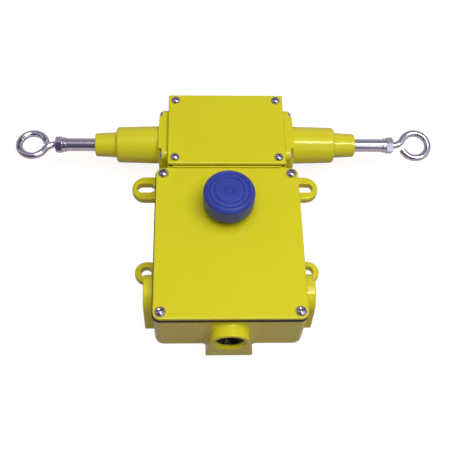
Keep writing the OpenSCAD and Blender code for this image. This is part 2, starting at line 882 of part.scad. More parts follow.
// Sliding carriage with a slot for the tail pin and a latch notch at either side.
module contact_carriage() {
    color(nylon) translate([0, 0, carriage_z[0]]) linear_extrude(carriage_z[1] - carriage_z[0])
        difference() {
            translate([-carriage_half_w, carriage_y[0]])
                square([2 * carriage_half_w, carriage_y[1] - carriage_y[0]]);
            translate([-tail_pin_r - pin_slack, pivot_y - tail_l])
                square([2 * (tail_pin_r + pin_slack), 10]);
            translate([0, pivot_y - tail_l]) circle(tail_pin_r + pin_slack);
            for (x = [-notch_x, notch_x]) translate([x - notch_half_w, carriage_y[0] - 1])
                square([2 * notch_half_w, notch_d + 1]);
        }
}

module moving_contacts() {
    color(bronze) for (y = strip_y) translate([-wiper_half_w, y - 1.4, block_top + wiper_gap])
        cube([2 * wiper_half_w, 2.8, carriage_z[0] - block_top - wiper_gap]);
}

// ---------- latch ----------

// Bent bracket with two ears that carry the latch pin.
module latch_bracket() {
    color(steel) difference() {
        union() {
            translate([-ear_x - ear_t, latch_y - ear_r, chassis_z])
                cube([2 * (ear_x + ear_t), 2 * ear_r, ear_t]);
            both_sides() translate([ear_x, 0, 0]) {
                translate([0, latch_y - ear_r, chassis_z])
                    cube([ear_t, 2 * ear_r, latch_z - chassis_z]);
                translate([0, latch_y, latch_z]) rod_x(0, ear_t, ear_r);
            }
        }
        translate([0, latch_y, latch_z]) rod_x(-ear_x - 5, ear_x + 5, latch_pin_r);
    }
}

module latch_pin() {
    color(plated) translate([0, latch_y, latch_z])
        rod_x(-ear_x - ear_t - 1, ear_x + ear_t + 1, latch_pin_r);
}

// Bell crank: the reset stem presses its pad, and its nose leaves the carriage's notch.
module latch_lever() {
    color(plated) difference() {
        union() {
            translate([0, latch_y, latch_z]) rod_x(-ear_x + 0.3, ear_x - 0.3, 4.5);
            translate([-latch_half_w, pad_end, latch_z - arm_half_t])
                cube([2 * latch_half_w, latch_y - pad_end, 2 * arm_half_t]);
            translate([-nose_half_w, latch_y - arm_half_t, latch_z])
                cube([2 * nose_half_w, 2 * arm_half_t, nose_z[1] - latch_z]);
            translate([-nose_half_w, latch_y, nose_z[0]])
                cube([2 * nose_half_w, nose_y - latch_y, nose_z[1] - nose_z[0]]);
        }
        translate([0, latch_y, latch_z]) rod_x(-ear_x, ear_x, latch_pin_r + fit);
    }
}

module latch_spring() {
    color(steel) translate([0, 0, chassis_z])
        coil_spring(latch_z - arm_half_t - chassis_z, 3, 0.5, 6, 6, 12);
}

// ---------- reset button ----------

// Half section of the cap's outer skin, from the axis to the skirt's lower edge.
function cap_section() = concat(
    [[0, 0], [0.17 * cap_r, 0], [0.17 * cap_r, -0.4], [0.2 * cap_r, -0.4], [0.2 * cap_r, 0],
     [0.58 * cap_r, 0], [0.58 * cap_r, -0.4], [0.61 * cap_r, -0.4], [0.61 * cap_r, 0],
     [0.78 * cap_r, 0], [0.78 * cap_r, -0.4], [0.81 * cap_r, -0.4], [0.81 * cap_r, 0]],
    [for (a = [90 : -15 : 0]) [cap_r - cap_rim_r + cap_rim_r * cos(a), -cap_rim_r + cap_rim_r * sin(a)]],
    [[cap_r, -cap_h], [cap_r - cap_wall, -cap_h], [cap_r - cap_wall, -cap_hollow],
     [cap_hub_r, -cap_hollow],
     [cap_hub_r, cap_hub_z - cap_top], [stem_r, cap_hub_z - cap_top],
     [stem_r, stem_top - cap_top], [0, stem_top - cap_top]]);

module reset_button() {
    color(blue) translate([0, cap_y, cap_top]) rotate_extrude($fn = 96) polygon(cap_section());
}

module reset_stem() {
    nose_z0 = stem_tip + stem_nose_r;
    color(steel) translate([0, cap_y, 0]) {
        translate([0, 0, nose_z0 + stem_taper - eps])
            cylinder(h = stem_top - nose_z0 - stem_taper + eps, r = stem_r);
        translate([0, 0, nose_z0]) cylinder(h = stem_taper, r1 = stem_nose_r, r2 = stem_r);
        translate([0, 0, nose_z0]) sphere(stem_nose_r, $fn = 32);
    }
}

module reset_clip() {
    color(plated) translate([0, cap_y, reset_bush_end - 1.2]) difference() {
        ring(stem_r + 3, stem_r, 1);
        translate([0, -2.5, -1]) cube([10, 5, 3]);
    }
}

module reset_bush() {
    color(bronze) translate([0, cap_y, 0]) difference() {
        union() {
            translate([0, 0, reset_bush_end])
                cylinder(h = reset_bush_top - reset_bush_end, r = reset_bush_r);
            translate([0, 0, reset_bush_top - reset_flange_t])
                cylinder(h = reset_flange_t, r = reset_flange_r);
        }
        translate([0, 0, reset_bush_end - 1]) cylinder(h = 20, r = stem_r + fit);
    }
}

module reset_seal() {
    color(rubber) translate([0, cap_y, top_z]) ring(reset_flange_r - 0.5, reset_bush_r, reset_seal_t);
}

module reset_nut() {
    color(steel) translate([0, cap_y, cover_z - reset_nut_t]) difference() {
        cylinder(h = reset_nut_t, r = reset_nut_af / 2 / cos(30), $fn = 6);
        translate([0, 0, -1]) cylinder(h = reset_nut_t + 2, r = reset_bush_r);
    }
}

module reset_spring() {
    color(steel) translate([0, cap_y, reset_bush_top])
        coil_spring(cap_hub_z - reset_bush_top, 6.9, 0.6, 4, 6, 16);
}

// ---------- earth terminal ----------

module ground_screw() {
    color("#3f8f4a") translate([ground_spot[0], ground_spot[1], ground_z])
        pan_screw(main_head_d, main_shank_r, ground_screw_l);
}

body_casting();
main_cover();
mechanism_cover();
main_gasket();
mechanism_gasket();
main_cover_screws();
mechanism_cover_screws();
left_end_housing();
right_end_housing();
left_end_gasket();
right_end_gasket();
left_end_screws();
right_end_screws();
left_end_bush();
right_end_bush();
left_rod_seal();
right_rod_seal();
left_centring_spring();
right_centring_spring();
pull_shaft();
shift_collar();
drive_pin();
left_spring_seat();
right_spring_seat();
left_seat_clip();
right_seat_clip();
left_lock_washer();
right_lock_washer();
left_jam_nut();
right_jam_nut();
left_eye_bolt();
right_eye_bolt();
trip_pivot_pin();
trip_lever();
tail_pin();
pivot_clip();
chassis_plate();
chassis_screws();
contact_block();
block_screws();
fixed_contacts();
terminal_screws();
contact_carriage();
moving_contacts();
latch_bracket();
latch_pin();
latch_lever();
latch_spring();
reset_button();
reset_stem();
reset_clip();
reset_bush();
reset_seal();
reset_nut();
reset_spring();
ground_screw();
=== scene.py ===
import json
import math

import bmesh
import bpy
import numpy as np
from bpy.props import FloatProperty, FloatVectorProperty, PointerProperty
from mathutils import Matrix, Vector


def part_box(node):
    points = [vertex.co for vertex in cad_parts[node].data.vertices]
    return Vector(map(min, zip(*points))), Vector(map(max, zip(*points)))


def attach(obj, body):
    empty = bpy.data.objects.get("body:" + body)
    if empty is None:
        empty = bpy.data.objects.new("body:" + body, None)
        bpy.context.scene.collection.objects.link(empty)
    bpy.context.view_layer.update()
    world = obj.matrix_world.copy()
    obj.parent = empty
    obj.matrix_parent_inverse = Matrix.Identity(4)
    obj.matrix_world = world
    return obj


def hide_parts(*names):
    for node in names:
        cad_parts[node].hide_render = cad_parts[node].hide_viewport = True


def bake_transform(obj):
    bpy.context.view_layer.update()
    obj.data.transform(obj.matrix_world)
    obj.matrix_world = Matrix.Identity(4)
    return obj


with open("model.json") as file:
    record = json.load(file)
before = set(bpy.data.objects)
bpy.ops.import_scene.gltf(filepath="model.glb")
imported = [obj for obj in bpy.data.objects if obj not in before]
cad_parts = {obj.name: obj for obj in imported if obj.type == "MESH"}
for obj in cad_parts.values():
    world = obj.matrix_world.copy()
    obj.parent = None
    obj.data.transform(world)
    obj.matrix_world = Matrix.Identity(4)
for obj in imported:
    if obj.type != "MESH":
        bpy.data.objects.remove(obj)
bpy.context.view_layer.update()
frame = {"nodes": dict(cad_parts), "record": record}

bl_info = {
    "name": "Rope pull switch",
    "version": (1, 0, 0),
    "blender": (4, 5, 0),
    "location": "View3D > Sidebar > Pull switch",
    "description": "Builds the painted, plated and moulded pieces of a rope pull switch and its stage",
    "category": "Object",
}

MM = 0.001
FULL_TURN = 2 * math.pi
QUARTER = math.pi / 2
ALONG_Z = np.eye(3)
ALONG_X = np.array([[0.0, 1, 0], [0, 0, 1], [1, 0, 0]])
# The switch's two ends: what is drawn for the right one is mirrored in X for the left.
ENDS = (("left", -1), ("right", 1))


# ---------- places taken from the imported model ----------

def node_box(node):
    """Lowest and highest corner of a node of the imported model, in metres."""
    low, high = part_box(node)
    return np.array(low), np.array(high)


def middle(node):
    """Middle of a node's box."""
    low, high = node_box(node)
    return (low + high) / 2


def shaft_axis():
    """Point of the shaft's axis at x = 0."""
    return middle("pull_shaft") * [0, 1, 1]


def corner_spots(node, head_r, first, second):
    """The four head centres of a node of screws, on two axes: its box drawn in by a head's radius."""
    low, high = node_box(node)
    return [(a, b) for a in (low[first] + head_r, high[first] - head_r)
            for b in (low[second] + head_r, high[second] - head_r)]


def mount(name):
    """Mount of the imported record, by its name."""
    return next(m for m in frame["record"]["mounts"] if m["name"] == name)


# ---------- surfaces worked out with numpy ----------

def grid_faces(rows, cols, wrap_rows=False):
    """Quads between neighbouring points of a grid whose columns run round and join up."""
    row, col = np.meshgrid(np.arange(rows if wrap_rows else rows - 1), np.arange(cols), indexing="ij")
    below, beside = (row + 1) % rows, (col + 1) % cols
    corners = [row * cols + col, row * cols + beside, below * cols + beside, below * cols + col]
    return np.stack(corners, axis=-1).reshape(-1, 4)


def shell(grid, loop=False):
    """Closed surface through the rings of a grid, facing outwards.

    Neighbouring rings are joined by quads. The first and the last ring get a flat face each,
    or with loop they are joined to each other. Every face is turned over when the volume,
    which is the sum of p0 . (p1 x p2) over its triangles, comes out negative.
    """
    rows, cols = grid.shape[:2]
    points = grid.reshape(-1, 3)
    quads = grid_faces(rows, cols, loop)
    ends = [] if loop else [np.arange(cols)[::-1], np.arange(cols) + (rows - 1) * cols]
    fans = [np.stack([np.full(cols - 2, end[0]), end[1:-1], end[2:]], axis=1) for end in ends]
    triangles = points[np.vstack([quads[:, :3], quads[:, [0, 2, 3]], *fans])]
    volume = np.sum(triangles[:, 0] * np.cross(triangles[:, 1], triangles[:, 2]))
    faces = quads.tolist() + [end.tolist() for end in ends]
    return points, faces if volume > 0 else [face[::-1] for face in faces]


def arc_outline(arcs, steps=7):
    """Closed outline of arcs joined by straight lines, as centres, outward directions and radii.

    A point is centre + radius * direction, so adding one growth to every radius moves the
    whole outline out by as much. An arc is (x, y, radius, start angle, end angle) in degrees.
    """
    x, y, radius, start, end = np.array(arcs, float).T[:, :, None]
    angle = np.radians(start + (end - start) * np.linspace(0, 1, steps + 1)[None])
    ones = np.ones_like(angle)
    centres = np.stack([x * ones, y * ones], axis=-1).reshape(-1, 2)
    directions = np.stack([np.cos(angle), np.sin(angle)], axis=-1).reshape(-1, 2)
    return centres, directions, (radius * ones).reshape(-1)


def rectangle(x0, y0, x1, y1, radius, steps=7):
    """Outline of a rectangle with round corners."""
    return arc_outline([(x1 - radius, y1 - radius, radius, 0, 90),
                        (x0 + radius, y1 - radius, radius, 90, 180),
                        (x0 + radius, y0 + radius, radius, 180, 270),
                        (x1 - radius, y0 + radius, radius, 270, 360)], steps)


def box_outline(low, high, radius, grow=0.0):
    """Outline with round corners of a box's first two axes, moved out by grow."""
    return rectangle(low[0] - grow, low[1] - grow, high[0] + grow, high[1] + grow, radius)


def stadium(x0, x1, y, radius, steps=24):
    """Outline of a slot or an ear: two half circles about (x0, y) and (x1, y), joined by straight lines."""
    return arc_outline([(x1, y, radius, -90, 90), (x0, y, radius, 90, 270)], steps)


def circle(x, y, radius, steps=47):
    """Round outline: one arc that stops a step short of its own start."""
    return arc_outline([(x, y, radius, 0, 360 * steps / (steps + 1))], steps)


def lofted(outline, profile):
    """Rings of an outline along Z: one for each (growth, height) of the profile."""
    centres, directions, radii = outline
    growth, height = np.array(profile).T[:, :, None]
    flat = centres + (radii + growth)[..., None] * directions
    return np.concatenate([flat, np.broadcast_to(height[..., None], flat.shape[:2] + (1,))], axis=-1)


def about_z(radius, angle, height):
    """Grid of points (r cos a, r sin a, h)."""
    return np.stack(np.broadcast_arrays(radius * np.cos(angle), radius * np.sin(angle), height), axis=-1)


def turned(profile, sides=96):
    """Rings about Z from (radius, height) pairs."""
    radius, height = np.array(profile).T[:, :, None]
    return about_z(radius, np.linspace(0, FULL_TURN, sides, endpoint=False), height)


def rounded(corners, radii, steps=6):
    """Profile through corners whose turns are arcs.

    An arc of radius r touches both sides at r / tan(half the corner's angle) from the corner,
    and its centre lies on the bisector at r / sin(half the angle). The end points stay.
    """
    corners = np.array(corners, float)
    parts = [corners[:1]]
    for before, corner, after, radius in zip(corners[:-2], corners[1:-1], corners[2:], radii):
        if radius == 0:
            parts.append(corner[None])
            continue
        back = (before - corner) / np.linalg.norm(before - corner)
        ahead = (after - corner) / np.linalg.norm(after - corner)
        half = math.acos(float(back @ ahead)) / 2
        middle = (back + ahead) / np.linalg.norm(back + ahead)
        centre = corner + middle * radius / math.sin(half)
        first = corner + back * radius / math.tan(half) - centre
        last = corner + ahead * radius / math.tan(half) - centre
        start = math.atan2(first[1], first[0])
        sweep = (math.atan2(last[1], last[0]) - start + math.pi) % FULL_TURN - math.pi
        angle = start + sweep * np.linspace(0, 1, steps + 1)
        parts.append(centre + radius * np.stack([np.cos(angle), np.sin(angle)], axis=-1))
    return np.vstack(parts + [corners[-1:]])


def placed(grid, origin, axes=ALONG_Z, turn=0.0):
    """Carries a grid drawn about its own Z to origin, turned about Z first; axes are its X, Y and Z."""
    c, s = math.cos(turn), math.sin(turn)
    return np.array(origin) + grid @ np.array([[c, s, 0], [-s, c, 0], [0, 0, 1]]) @ axes


def mirrored(grid, side):
    """The grid itself for side 1, or its mirror image in X for side -1."""
    return grid * [side, 1, 1]


def along_x(grid, origin, side, turn=0.0):
    """Shell of a grid drawn about Z and laid along X from origin; side -1 mirrors it to the left end."""
    return shell(mirrored(placed(grid, origin, ALONG_X, turn), side))


def tube(centres, across, beside, radii, sides=28):
    """Rings about a centre line: a point is centre + r (across cos b + beside sin b)."""
    angle = np.linspace(0, FULL_TURN, sides, endpoint=False)[None, :, None]
    spread = across[:, None] * np.cos(angle) + beside[:, None] * np.sin(angle)
    return centres[:, None] + np.broadcast_to(radii, len(centres))[:, None, None] * spread


def coil(mean_r, wire_r, length, turns, per_turn=28):
    """Spring along Z whose end turns lie closed.

    The wire's height runs evenly over each of three stretches: the first turn and the last rise
    by one wire's thickness, and the turns between share the rest.
    """
    turn = np.linspace(0, turns, int(turns * per_turn) + 1)
    closed = 2 * wire_r
    height = np.interp(turn, [0, 1, turns - 1, turns],
                       [wire_r, wire_r + closed, length - wire_r - closed, length - wire_r])
    around = np.stack([np.cos(FULL_TURN * turn), np.sin(FULL_TURN * turn), 0 * turn], axis=-1)
    centres = mean_r * around + height[:, None] * [0, 0, 1]
    return tube(centres, around, np.broadcast_to([0.0, 0, 1], around.shape), wire_r, sides=12)


# ---------- meshes and pieces ----------

def new_mesh(*shells):
    """Mesh of one or more closed shells."""
    starts = np.cumsum([0] + [len(points) for points, _ in shells])
    mesh = bpy.data.meshes.new("shells")
    faces = [[start + i for i in face] for start, (_, part) in zip(starts, shells) for face in part]
    mesh.from_pydata(np.vstack([points for points, _ in shells]), [], faces)
    return mesh


def joined(mesh, operation, *shells):
    """The mesh after a UNION, DIFFERENCE or INTERSECT with shells that don't touch one another."""
    base = bpy.data.objects.new("base", mesh)
    tool = bpy.data.objects.new("tool", new_mesh(*shells))
    for spare in (base, tool):
        bpy.context.scene.collection.objects.link(spare)
    cut = base.modifiers.new("cut", "BOOLEAN")
    cut.operation, cut.solver, cut.object = operation, "MANIFOLD", tool
    graph = bpy.context.evaluated_depsgraph_get()
    result = bpy.data.meshes.new_from_object(base.evaluated_get(graph))
    for spare in (base, tool):
        data = spare.data
        bpy.data.objects.remove(spare)
        bpy.data.meshes.remove(data)
    if not result.polygons:
        raise RuntimeError(f"nothing is left after {operation}")
    return result


def without_slivers(mesh, narrowest=0.002 * MM):
    """Takes out the hair-thin faces that a boolean leaves where two surfaces nearly meet."""
    work = bmesh.new()
    work.from_mesh(mesh)
    bmesh.ops.remove_doubles(work, verts=work.verts, dist=narrowest)
    bmesh.ops.triangulate(work, faces=[face for face in work.faces if len(face.verts) > 4])
    bmesh.ops.dissolve_degenerate(work, edges=work.edges, dist=narrowest)
    work.to_mesh(mesh)
    work.free()


def finish_name(slot):
    """Name of a slot's finish here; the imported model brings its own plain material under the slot's name."""
    return f"{slot} finish"


def add_piece(name, mesh, body, slot, *nodes, soft_angle=34):
    """Makes a mesh a piece with the slot's finish that rides on a body and stands for nodes."""
    mesh.name = name
    without_slivers(mesh)
    mesh.materials.clear()
    mesh.materials.append(bpy.data.materials[finish_name(slot)])
    mesh.shade_smooth()
    mesh.set_sharp_from_angle(angle=math.radians(soft_angle))
    piece = bpy.data.objects.new(name, mesh)
    bpy.context.scene.collection.objects.link(piece)
    even = piece.modifiers.new("even shading", "WEIGHTED_NORMAL")
    even.keep_sharp = True
    if body:
        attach(piece, body)
    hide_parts(*nodes)
    return piece


# ---------- finishes ----------

class Value:
    """A number that varies over a surface; arithmetic on it adds Math nodes to its finish."""

    def __init__(self, finish, socket):
        self.finish, self.socket = finish, socket

    def _math(self, operation, *terms):
        node = self.finish.node("ShaderNodeMath", {"operation": operation}, dict(enumerate(terms)))
        return Value(self.finish, node.outputs[0])

    def __add__(self, other):
        return self._math("ADD", self, other)

    def __sub__(self, other):
        return self._math("SUBTRACT", self, other)

    def __rsub__(self, other):
        return self._math("SUBTRACT", other, self)

    def __mul__(self, other):
        return self._math("MULTIPLY", self, other)

    __radd__, __rmul__ = __add__, __mul__

    def angle_to(self, other):
        """Angle whose tangent is this value over the other, from -pi to pi."""
        return self._math("ARCTAN2", self, other)

    def above(self, edge, width):
        """0 below edge and 1 above edge + width, even in between."""
        node = self.finish.node("ShaderNodeMapRange", {"clamp": True},
                                {"Value": self, "From Min": edge, "From Max": edge + width})
        return Value(self.finish, node.outputs[0])


class Finish:
    """The nodes of a material or a world while they are being put together."""

    def __init__(self, holder):
        holder.use_nodes = True
        self.tree = holder.node_tree
        self.tree.nodes.clear()

    def node(self, kind, settings=None, sockets=None):
        """Adds a node: its settings are set first, then each socket gets a number, a colour or a link."""
        node = self.tree.nodes.new(kind)
        for key, value in (settings or {}).items():
            if key == "stops":
                for stop in value[2:]:
                    node.color_ramp.elements.new(stop[0])
                for element, (place, colour) in zip(node.color_ramp.elements, value):
                    element.position, element.color = place, colour
            else:
                setattr(node, key, value)
        for key, value in (sockets or {}).items():
            if isinstance(value, Value):
                self.tree.links.new(value.socket, node.inputs[key])
            else:
                node.inputs[key].default_value = value
        return node

    def grain(self, size, detail=2.0, stretch=(1, 1, 1)):
        """Noise from 0 to 1 whose spots are about size across, drawn out by stretch along each axis."""
        place = Value(self, self.node("ShaderNodeTexCoord").outputs["Object"])
        mapped = self.node("ShaderNodeMapping", {"vector_type": "POINT"},
                           {"Vector": place, "Scale": [1 / s for s in stretch]})
        noise = self.node("ShaderNodeTexNoise", {"noise_dimensions": "3D"},
                          {"Vector": Value(self, mapped.outputs[0]), "Scale": 1 / size, "Detail": detail})
        return Value(self, noise.outputs[0])

    def blend(self, share, first, second):
        """Colour that goes from first to second as share goes from 0 to 1."""
        mix = self.node("ShaderNodeMix", {"data_type": "RGBA"}, {0: share, 6: first, 7: second})
        return Value(self, mix.outputs[2])

    def bump(self, height, depth):
        """Normal of a relief whose height runs from 0 to 1 over depth."""
        node = self.node("ShaderNodeBump", {}, {"Strength": 1.0, "Distance": depth, "Height": height})
        return Value(self, node.outputs[0])

    def surface(self, **sockets):
        """Ends the material in one Principled shader; underscores in the names stand for spaces."""
        shader = self.node("ShaderNodeBsdfPrincipled", {},
                           {key.replace("_", " "): value for key, value in sockets.items()})
        end = self.node("ShaderNodeOutputMaterial")
        self.tree.links.new(shader.outputs[0], end.inputs[0])


def shade(colour, factor):
    """The colour made darker or lighter, as RGBA."""
    return [min(part * factor, 1.0) for part in colour] + [1.0]


def painted(finish, colour):
    """Glossy enamel: slight drift of tone, soft orange peel and a finer grain, under a clear smooth skin."""
    drift = finish.grain(34 * MM, 2) * 0.7 + finish.grain(5 * MM, 2) * 0.3
    peel = finish.grain(2.4 * MM, 1)
    grain = finish.grain(0.6 * MM, 1)
    finish.surface(Base_Color=finish.blend(drift.above(0.3, 0.4), shade(colour, 0.985), shade(colour, 1.015)),
                   Roughness=finish.grain(3 * MM) * 0.05 + 0.255, Specular_IOR_Level=0.15,
                   Coat_Weight=0.6, Coat_Roughness=0.04,
                   Normal=finish.bump(peel * 0.8 + grain * 0.2, 0.005 * MM))


def rubbery(finish, colour):
    """Cut sheet rubber: matt, with a fine open grain and dusty spots."""
    dust = finish.grain(2.2 * MM, 3)
    finish.surface(Base_Color=finish.blend(dust.above(0.45, 0.25), shade(colour, 0.5), shade(colour, 0.9)),
                   Roughness=dust * 0.15 + 0.62, Normal=finish.bump(finish.grain(0.4 * MM, 2), 0.05 * MM))


def plated(finish, colour):
    """Bright plate: soft clouds in the tone, faint wiping scratches along the piece and a slight haze."""
    cloud = finish.grain(3.5 * MM, 3)
    scratch = finish.grain(0.16 * MM, 1, (14, 1, 1))
    finish.surface(Base_Color=finish.blend(cloud.above(0.35, 0.3), shade(colour, 0.93), shade(colour, 1.05)),
                   Metallic=1.0, Roughness=cloud * 0.08 + scratch * 0.03 + 0.03,
                   Normal=finish.bump(scratch * 0.3 + cloud * 0.7, 0.0015 * MM))


def lathed(finish, colour):
    """Turned metal: rings of tool marks across the axis, over slight clouds."""
    marks = finish.grain(0.28 * MM, 1, (1, 60, 60))
    cloud = finish.grain(4 * MM, 2)
    tone = marks * 0.6 + cloud * 0.4
    finish.surface(Base_Color=finish.blend(tone, shade(colour, 0.86), shade(colour, 1.1)),
                   Metallic=1.0, Roughness=marks * 0.14 + cloud * 0.1 + 0.16,
                   Normal=finish.bump(marks, 0.006 * MM))


def moulded(finish, colour):
    """Moulded plastic: an even tone with a trace of flow, and the mould's fine spark-worn grain."""
    flow = finish.grain(9 * MM, 2)
    finish.surface(Base_Color=finish.blend(flow.above(0.3, 0.4), shade(colour, 0.93), shade(colour, 1.06)),
                   Roughness=flow * 0.1 + finish.grain(0.8 * MM) * 0.06 + 0.3, Specular_IOR_Level=0.3,
                   Normal=finish.bump(finish.grain(0.45 * MM, 2), 0.012 * MM))


FINISHES = {
    "yellow_paint": painted, "dark_rubber": rubbery, "chrome_screw": plated, "plated_steel": plated,
    "machined_steel": lathed, "spring_steel": lathed, "bronze": lathed, "black_moulding": moulded,
    # The threads' finish is unpainted metal whose dark colour also paints the shade deep in the conduit bores.
    "white_nylon": moulded, "blue_plastic": moulded, "green_screw": plated, "bare_casting": lathed,
}


# ---------- sizes and colours that a user may change ----------

def length(label, text, mm):
    """Length property with its default in millimetres."""
    return FloatProperty(name=label, description=text, default=mm * MM, min=0.0, precision=5, unit="LENGTH")


def angle(label, text, degrees):
    """Angle property with its default in degrees."""
    return FloatProperty(name=label, description=text, default=math.radians(degrees), subtype="ANGLE")


def tint(label, text, colour):
    """Colour property."""
    return FloatVectorProperty(name=label, description=text, default=colour, size=3, min=0.0, max=1.0,
                               subtype="COLOR")


def slot_colour(slot):
    """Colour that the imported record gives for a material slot."""
    return next(m["base_color"] for m in frame["record"]["materials"] if m["slot"] == slot)


class SwitchCasting(bpy.types.PropertyGroup):
    wall: length("Wall", "Thickness of the casting's walls", 4.5)
    corner: length("Standing corner", "Radius of the standing corners", 8)
    inner_corner: length("Inner corner", "Radius of the standing corners inside the compartments", 3)
    back_edge: length("Back edge", "Radius of the edges round the back", 2)
    rim_edge: length("Rim edge", "Radius of the edge under the gaskets", 0.7)
    rebate: length("Rebate", "Width of the step in the wiring compartment's rim, which the gasket fills", 1.6)
    rebate_depth: length("Rebate depth", "Depth of that step below the rim", 1.0)
    lug: length("Lug", "Thickness of the mounting lugs", 7.8)
    lug_edge: length("Lug edge", "Radius of the lugs' upper edges", 2.4)
    slot_edge: length("Slot edge", "Radius of the edges of the slots and holes", 1.1)
    slot_ear: length("Slotted ear", "Radius of the upper ears", 13.3)
    slot_ear_reach: length("Slotted ear reach", "Distance from the middle to the upper ears' ends", 93.1)
    hole_ear: length("Drilled ear", "Radius of the lower ears", 10.8)
    hub: length("Hub", "Radius of the conduit hubs' round front", 17.7)
    hub_foot: length("Hub foot", "Half width of the hubs at the back", 21.4)
    hub_edge: length("Hub edge", "Radius of the hubs' front edge", 1.1)
    hub_root: length("Hub root", "Radius of the fillet where a hub meets its wall", 1.9)
    hub_reach: length("Lower hub reach", "How far the lower hub stands out of its wall", 11.2)
    side_hub_reach: length("Side hub reach", "How far the side hubs stand out of their walls", 9.5)
    bore: length("Conduit bore", "Radius of the conduit threads, halfway up a thread", 12.9)
    mouth: length("Conduit mouth", "Radius of the conduit bores at their mouths", 14.8)
    chamfer: length("Mouth depth", "Depth of the chamfer at a conduit's mouth", 1.9)
    pitch: length("Thread pitch", "Distance from one conduit thread to the next", 1.81)
    thread: length("Thread height", "Height of the conduit threads", 1.0)
    # Past this depth the threads get the dark finish that paints the shade deep in the bores.
    shaded_thread_from: length("Painted mouth", "How deep paint reaches into the conduit threads", 4.0)


class SwitchCovers(bpy.types.PropertyGroup):
    main_corner: length("Wiring cover corner", "Corner radius of the wiring cover", 6.6)
    mech_corner: length("Mechanism cover corner", "Corner radius of the mechanism cover", 1.6)
    edge: length("Cover edge", "Radius of the covers' upper edges", 1.2)
    gasket_reach: length("Gasket reach", "How far the wiring cover's gasket stands out from under it", 0.3)
    gasket_shift: length("Gasket shift", "How far that gasket sits off centre, to the left", 0.4)


class SwitchEnds(bpy.types.PropertyGroup):
    flange: length("Flange", "Thickness of the flange plates", 5)
    flange_corner: length("Flange corner", "Corner radius of the flange plates", 6.5)
    flange_edge: length("Flange edge", "Radius of the flange plates' outer edges", 1.3)
    boss: length("Boss", "Radius of the round boss", 29)
    boss_height: length("Boss height", "Height of the boss at the cone's root", 3.1)
    boss_slope: length("Boss slope", "How much lower the boss's face is at its edge", 0.35)
    spot: length("Screw pocket", "Radius of the pockets cut for the screw heads", 6.4)
    spigot: length("Spigot", "Radius of the spigot that centres a housing in its wall", 17.4)
    spigot_length: length("Spigot length", "Length of the spigot behind the flange", 5.3)
    cone_root: length("Cone root", "Radius of the large cone at its root", 18.5)
    cone_end: length("Cone end", "Radius of the large cone at its shoulder", 17.4)
    cone_length: length("Cone length", "Length of the large cone", 41.8)
    shoulder: length("Cone shoulder", "Radius of the large cone's shoulder", 2.7)
    tip_root: length("Tip root", "Radius of the small cone at its root", 12.4)
    tip_end: length("Tip end", "Radius of the small cone at its end", 11.3)
    tip_edge: length("Tip edge", "Radius of the small cone's end", 1.5)
    spring_bore: length("Spring bore", "Radius of the bore that holds the centring spring", 15)
    bush_bore: length("Bush bore", "Radius of the bore that holds the bush and the seal", 9)
    end_wall: length("End wall", "Thickness of the wall at the large cone's end", 4.4)


class SwitchRod(bpy.types.PropertyGroup):
    tap: length("Tapped hole", "Radius of the tapped holes in the shaft's ends", 3.35)
    tap_depth: length("Tapped depth", "Depth of the tapped holes", 20)
    washer_split: length("Washer split", "Gap in the spring washers", 1.6)
    flats: length("Nut flats", "Distance between flats of the jam nuts", 14.3)
    wire: length("Eye wire", "Radius of the eye bolts' wire", 3.3)
    eye: length("Eye", "Radius of the eyes at the middle of the wire", 13.3)
    stub: length("Straight stub", "Straight shank between the nut and the bend", 0.5)
    tangent: length("Straight stretch", "Straight wire between the bend and the eye", 1)
    nut_turn: angle("Nut turn", "Angle of the nuts' corners about the shaft", 50)
    right_eye_end: angle("Right eye's end", "Angle from the eye's far side to its cut end", 157)
    left_eye_end: angle("Left eye's end", "Angle from the eye's far side to its cut end", 168)
    right_tilt: angle("Right eye tilt", "Turn of the right eye about the shaft", 12)


class SwitchScrews(bpy.types.PropertyGroup):
    main_head: length("Wiring cover head", "Head diameter of the wiring cover's screws", 9.5)
    mech_head: length("Mechanism cover head", "Head diameter of the mechanism cover's screws", 8.4)
    flange_head: length("Flange head", "Head diameter of the flange screws", 7.6)
    swell: length("Head swell", "How far the rolled heads spread beyond their nominal radius", 0.3)


class SwitchButton(bpy.types.PropertyGroup):
    crown: length("Crown", "How far the domed face rises above the edge of its rings", 1.2)
    rim: length("Button rim", "Width of the rounded edge round the button's face", 4.8)
    rim_drop: length("Rim drop", "Height of the rounded edge round the button's face", 3.4)
    rise: length("Rise", "How far the edge of the face stands above the packed button", 0.8)
    wall: length("Button wall", "Thickness of the button's skirt", 2.6)
    groove: length("Groove depth", "Depth of the rings in the button's face", 0.9)
    skirt: length("Skirt", "How far the skirt hangs below the packed button", 0.8)
    hub: length("Button hub", "Radius of the hub under the button", 8)
    hollow: length("Button hollow", "Depth from the face down to the hollow inside", 6)
    stem: length("Stem", "Radius of the reset stem", 5)


class SwitchColours(bpy.types.PropertyGroup):
    # Unpainted threads, darkened far beyond bare metal to paint the shade that falls deep in the conduit
    # bores.
    bare_casting: tint("Bare casting", "The cut threads, which stay unpainted", (0.1, 0.085, 0.05))
    yellow_paint: tint("Paint", "Enamel of the castings and covers", (0.74, 0.685, 0.019))
    dark_rubber: tint("Rubber", "Gaskets and seals", slot_colour("dark_rubber"))
    chrome_screw: tint("Screws", "Bright plate of the cover and flange screws", (0.58, 0.54, 0.6))
    plated_steel: tint("Plate", "Plate of the shaft, nuts, washers and eye bolts", (0.8, 0.78, 0.84))
    machined_steel: tint("Turned steel", "Turned steel inside the switch", slot_colour("machined_steel"))
    spring_steel: tint("Spring steel", "Springs and strip", slot_colour("spring_steel"))
    bronze: tint("Bronze", "Bushes", slot_colour("bronze"))
    black_moulding: tint("Black moulding", "Contact block", slot_colour("black_moulding"))
    white_nylon: tint("Nylon", "Contact carriage", slot_colour("white_nylon"))
    blue_plastic: tint("Button", "Moulded reset button", (0.042, 0.062, 0.36))
    green_screw: tint("Earth screw", "Dyed plate of the earth screw", slot_colour("green_screw"))


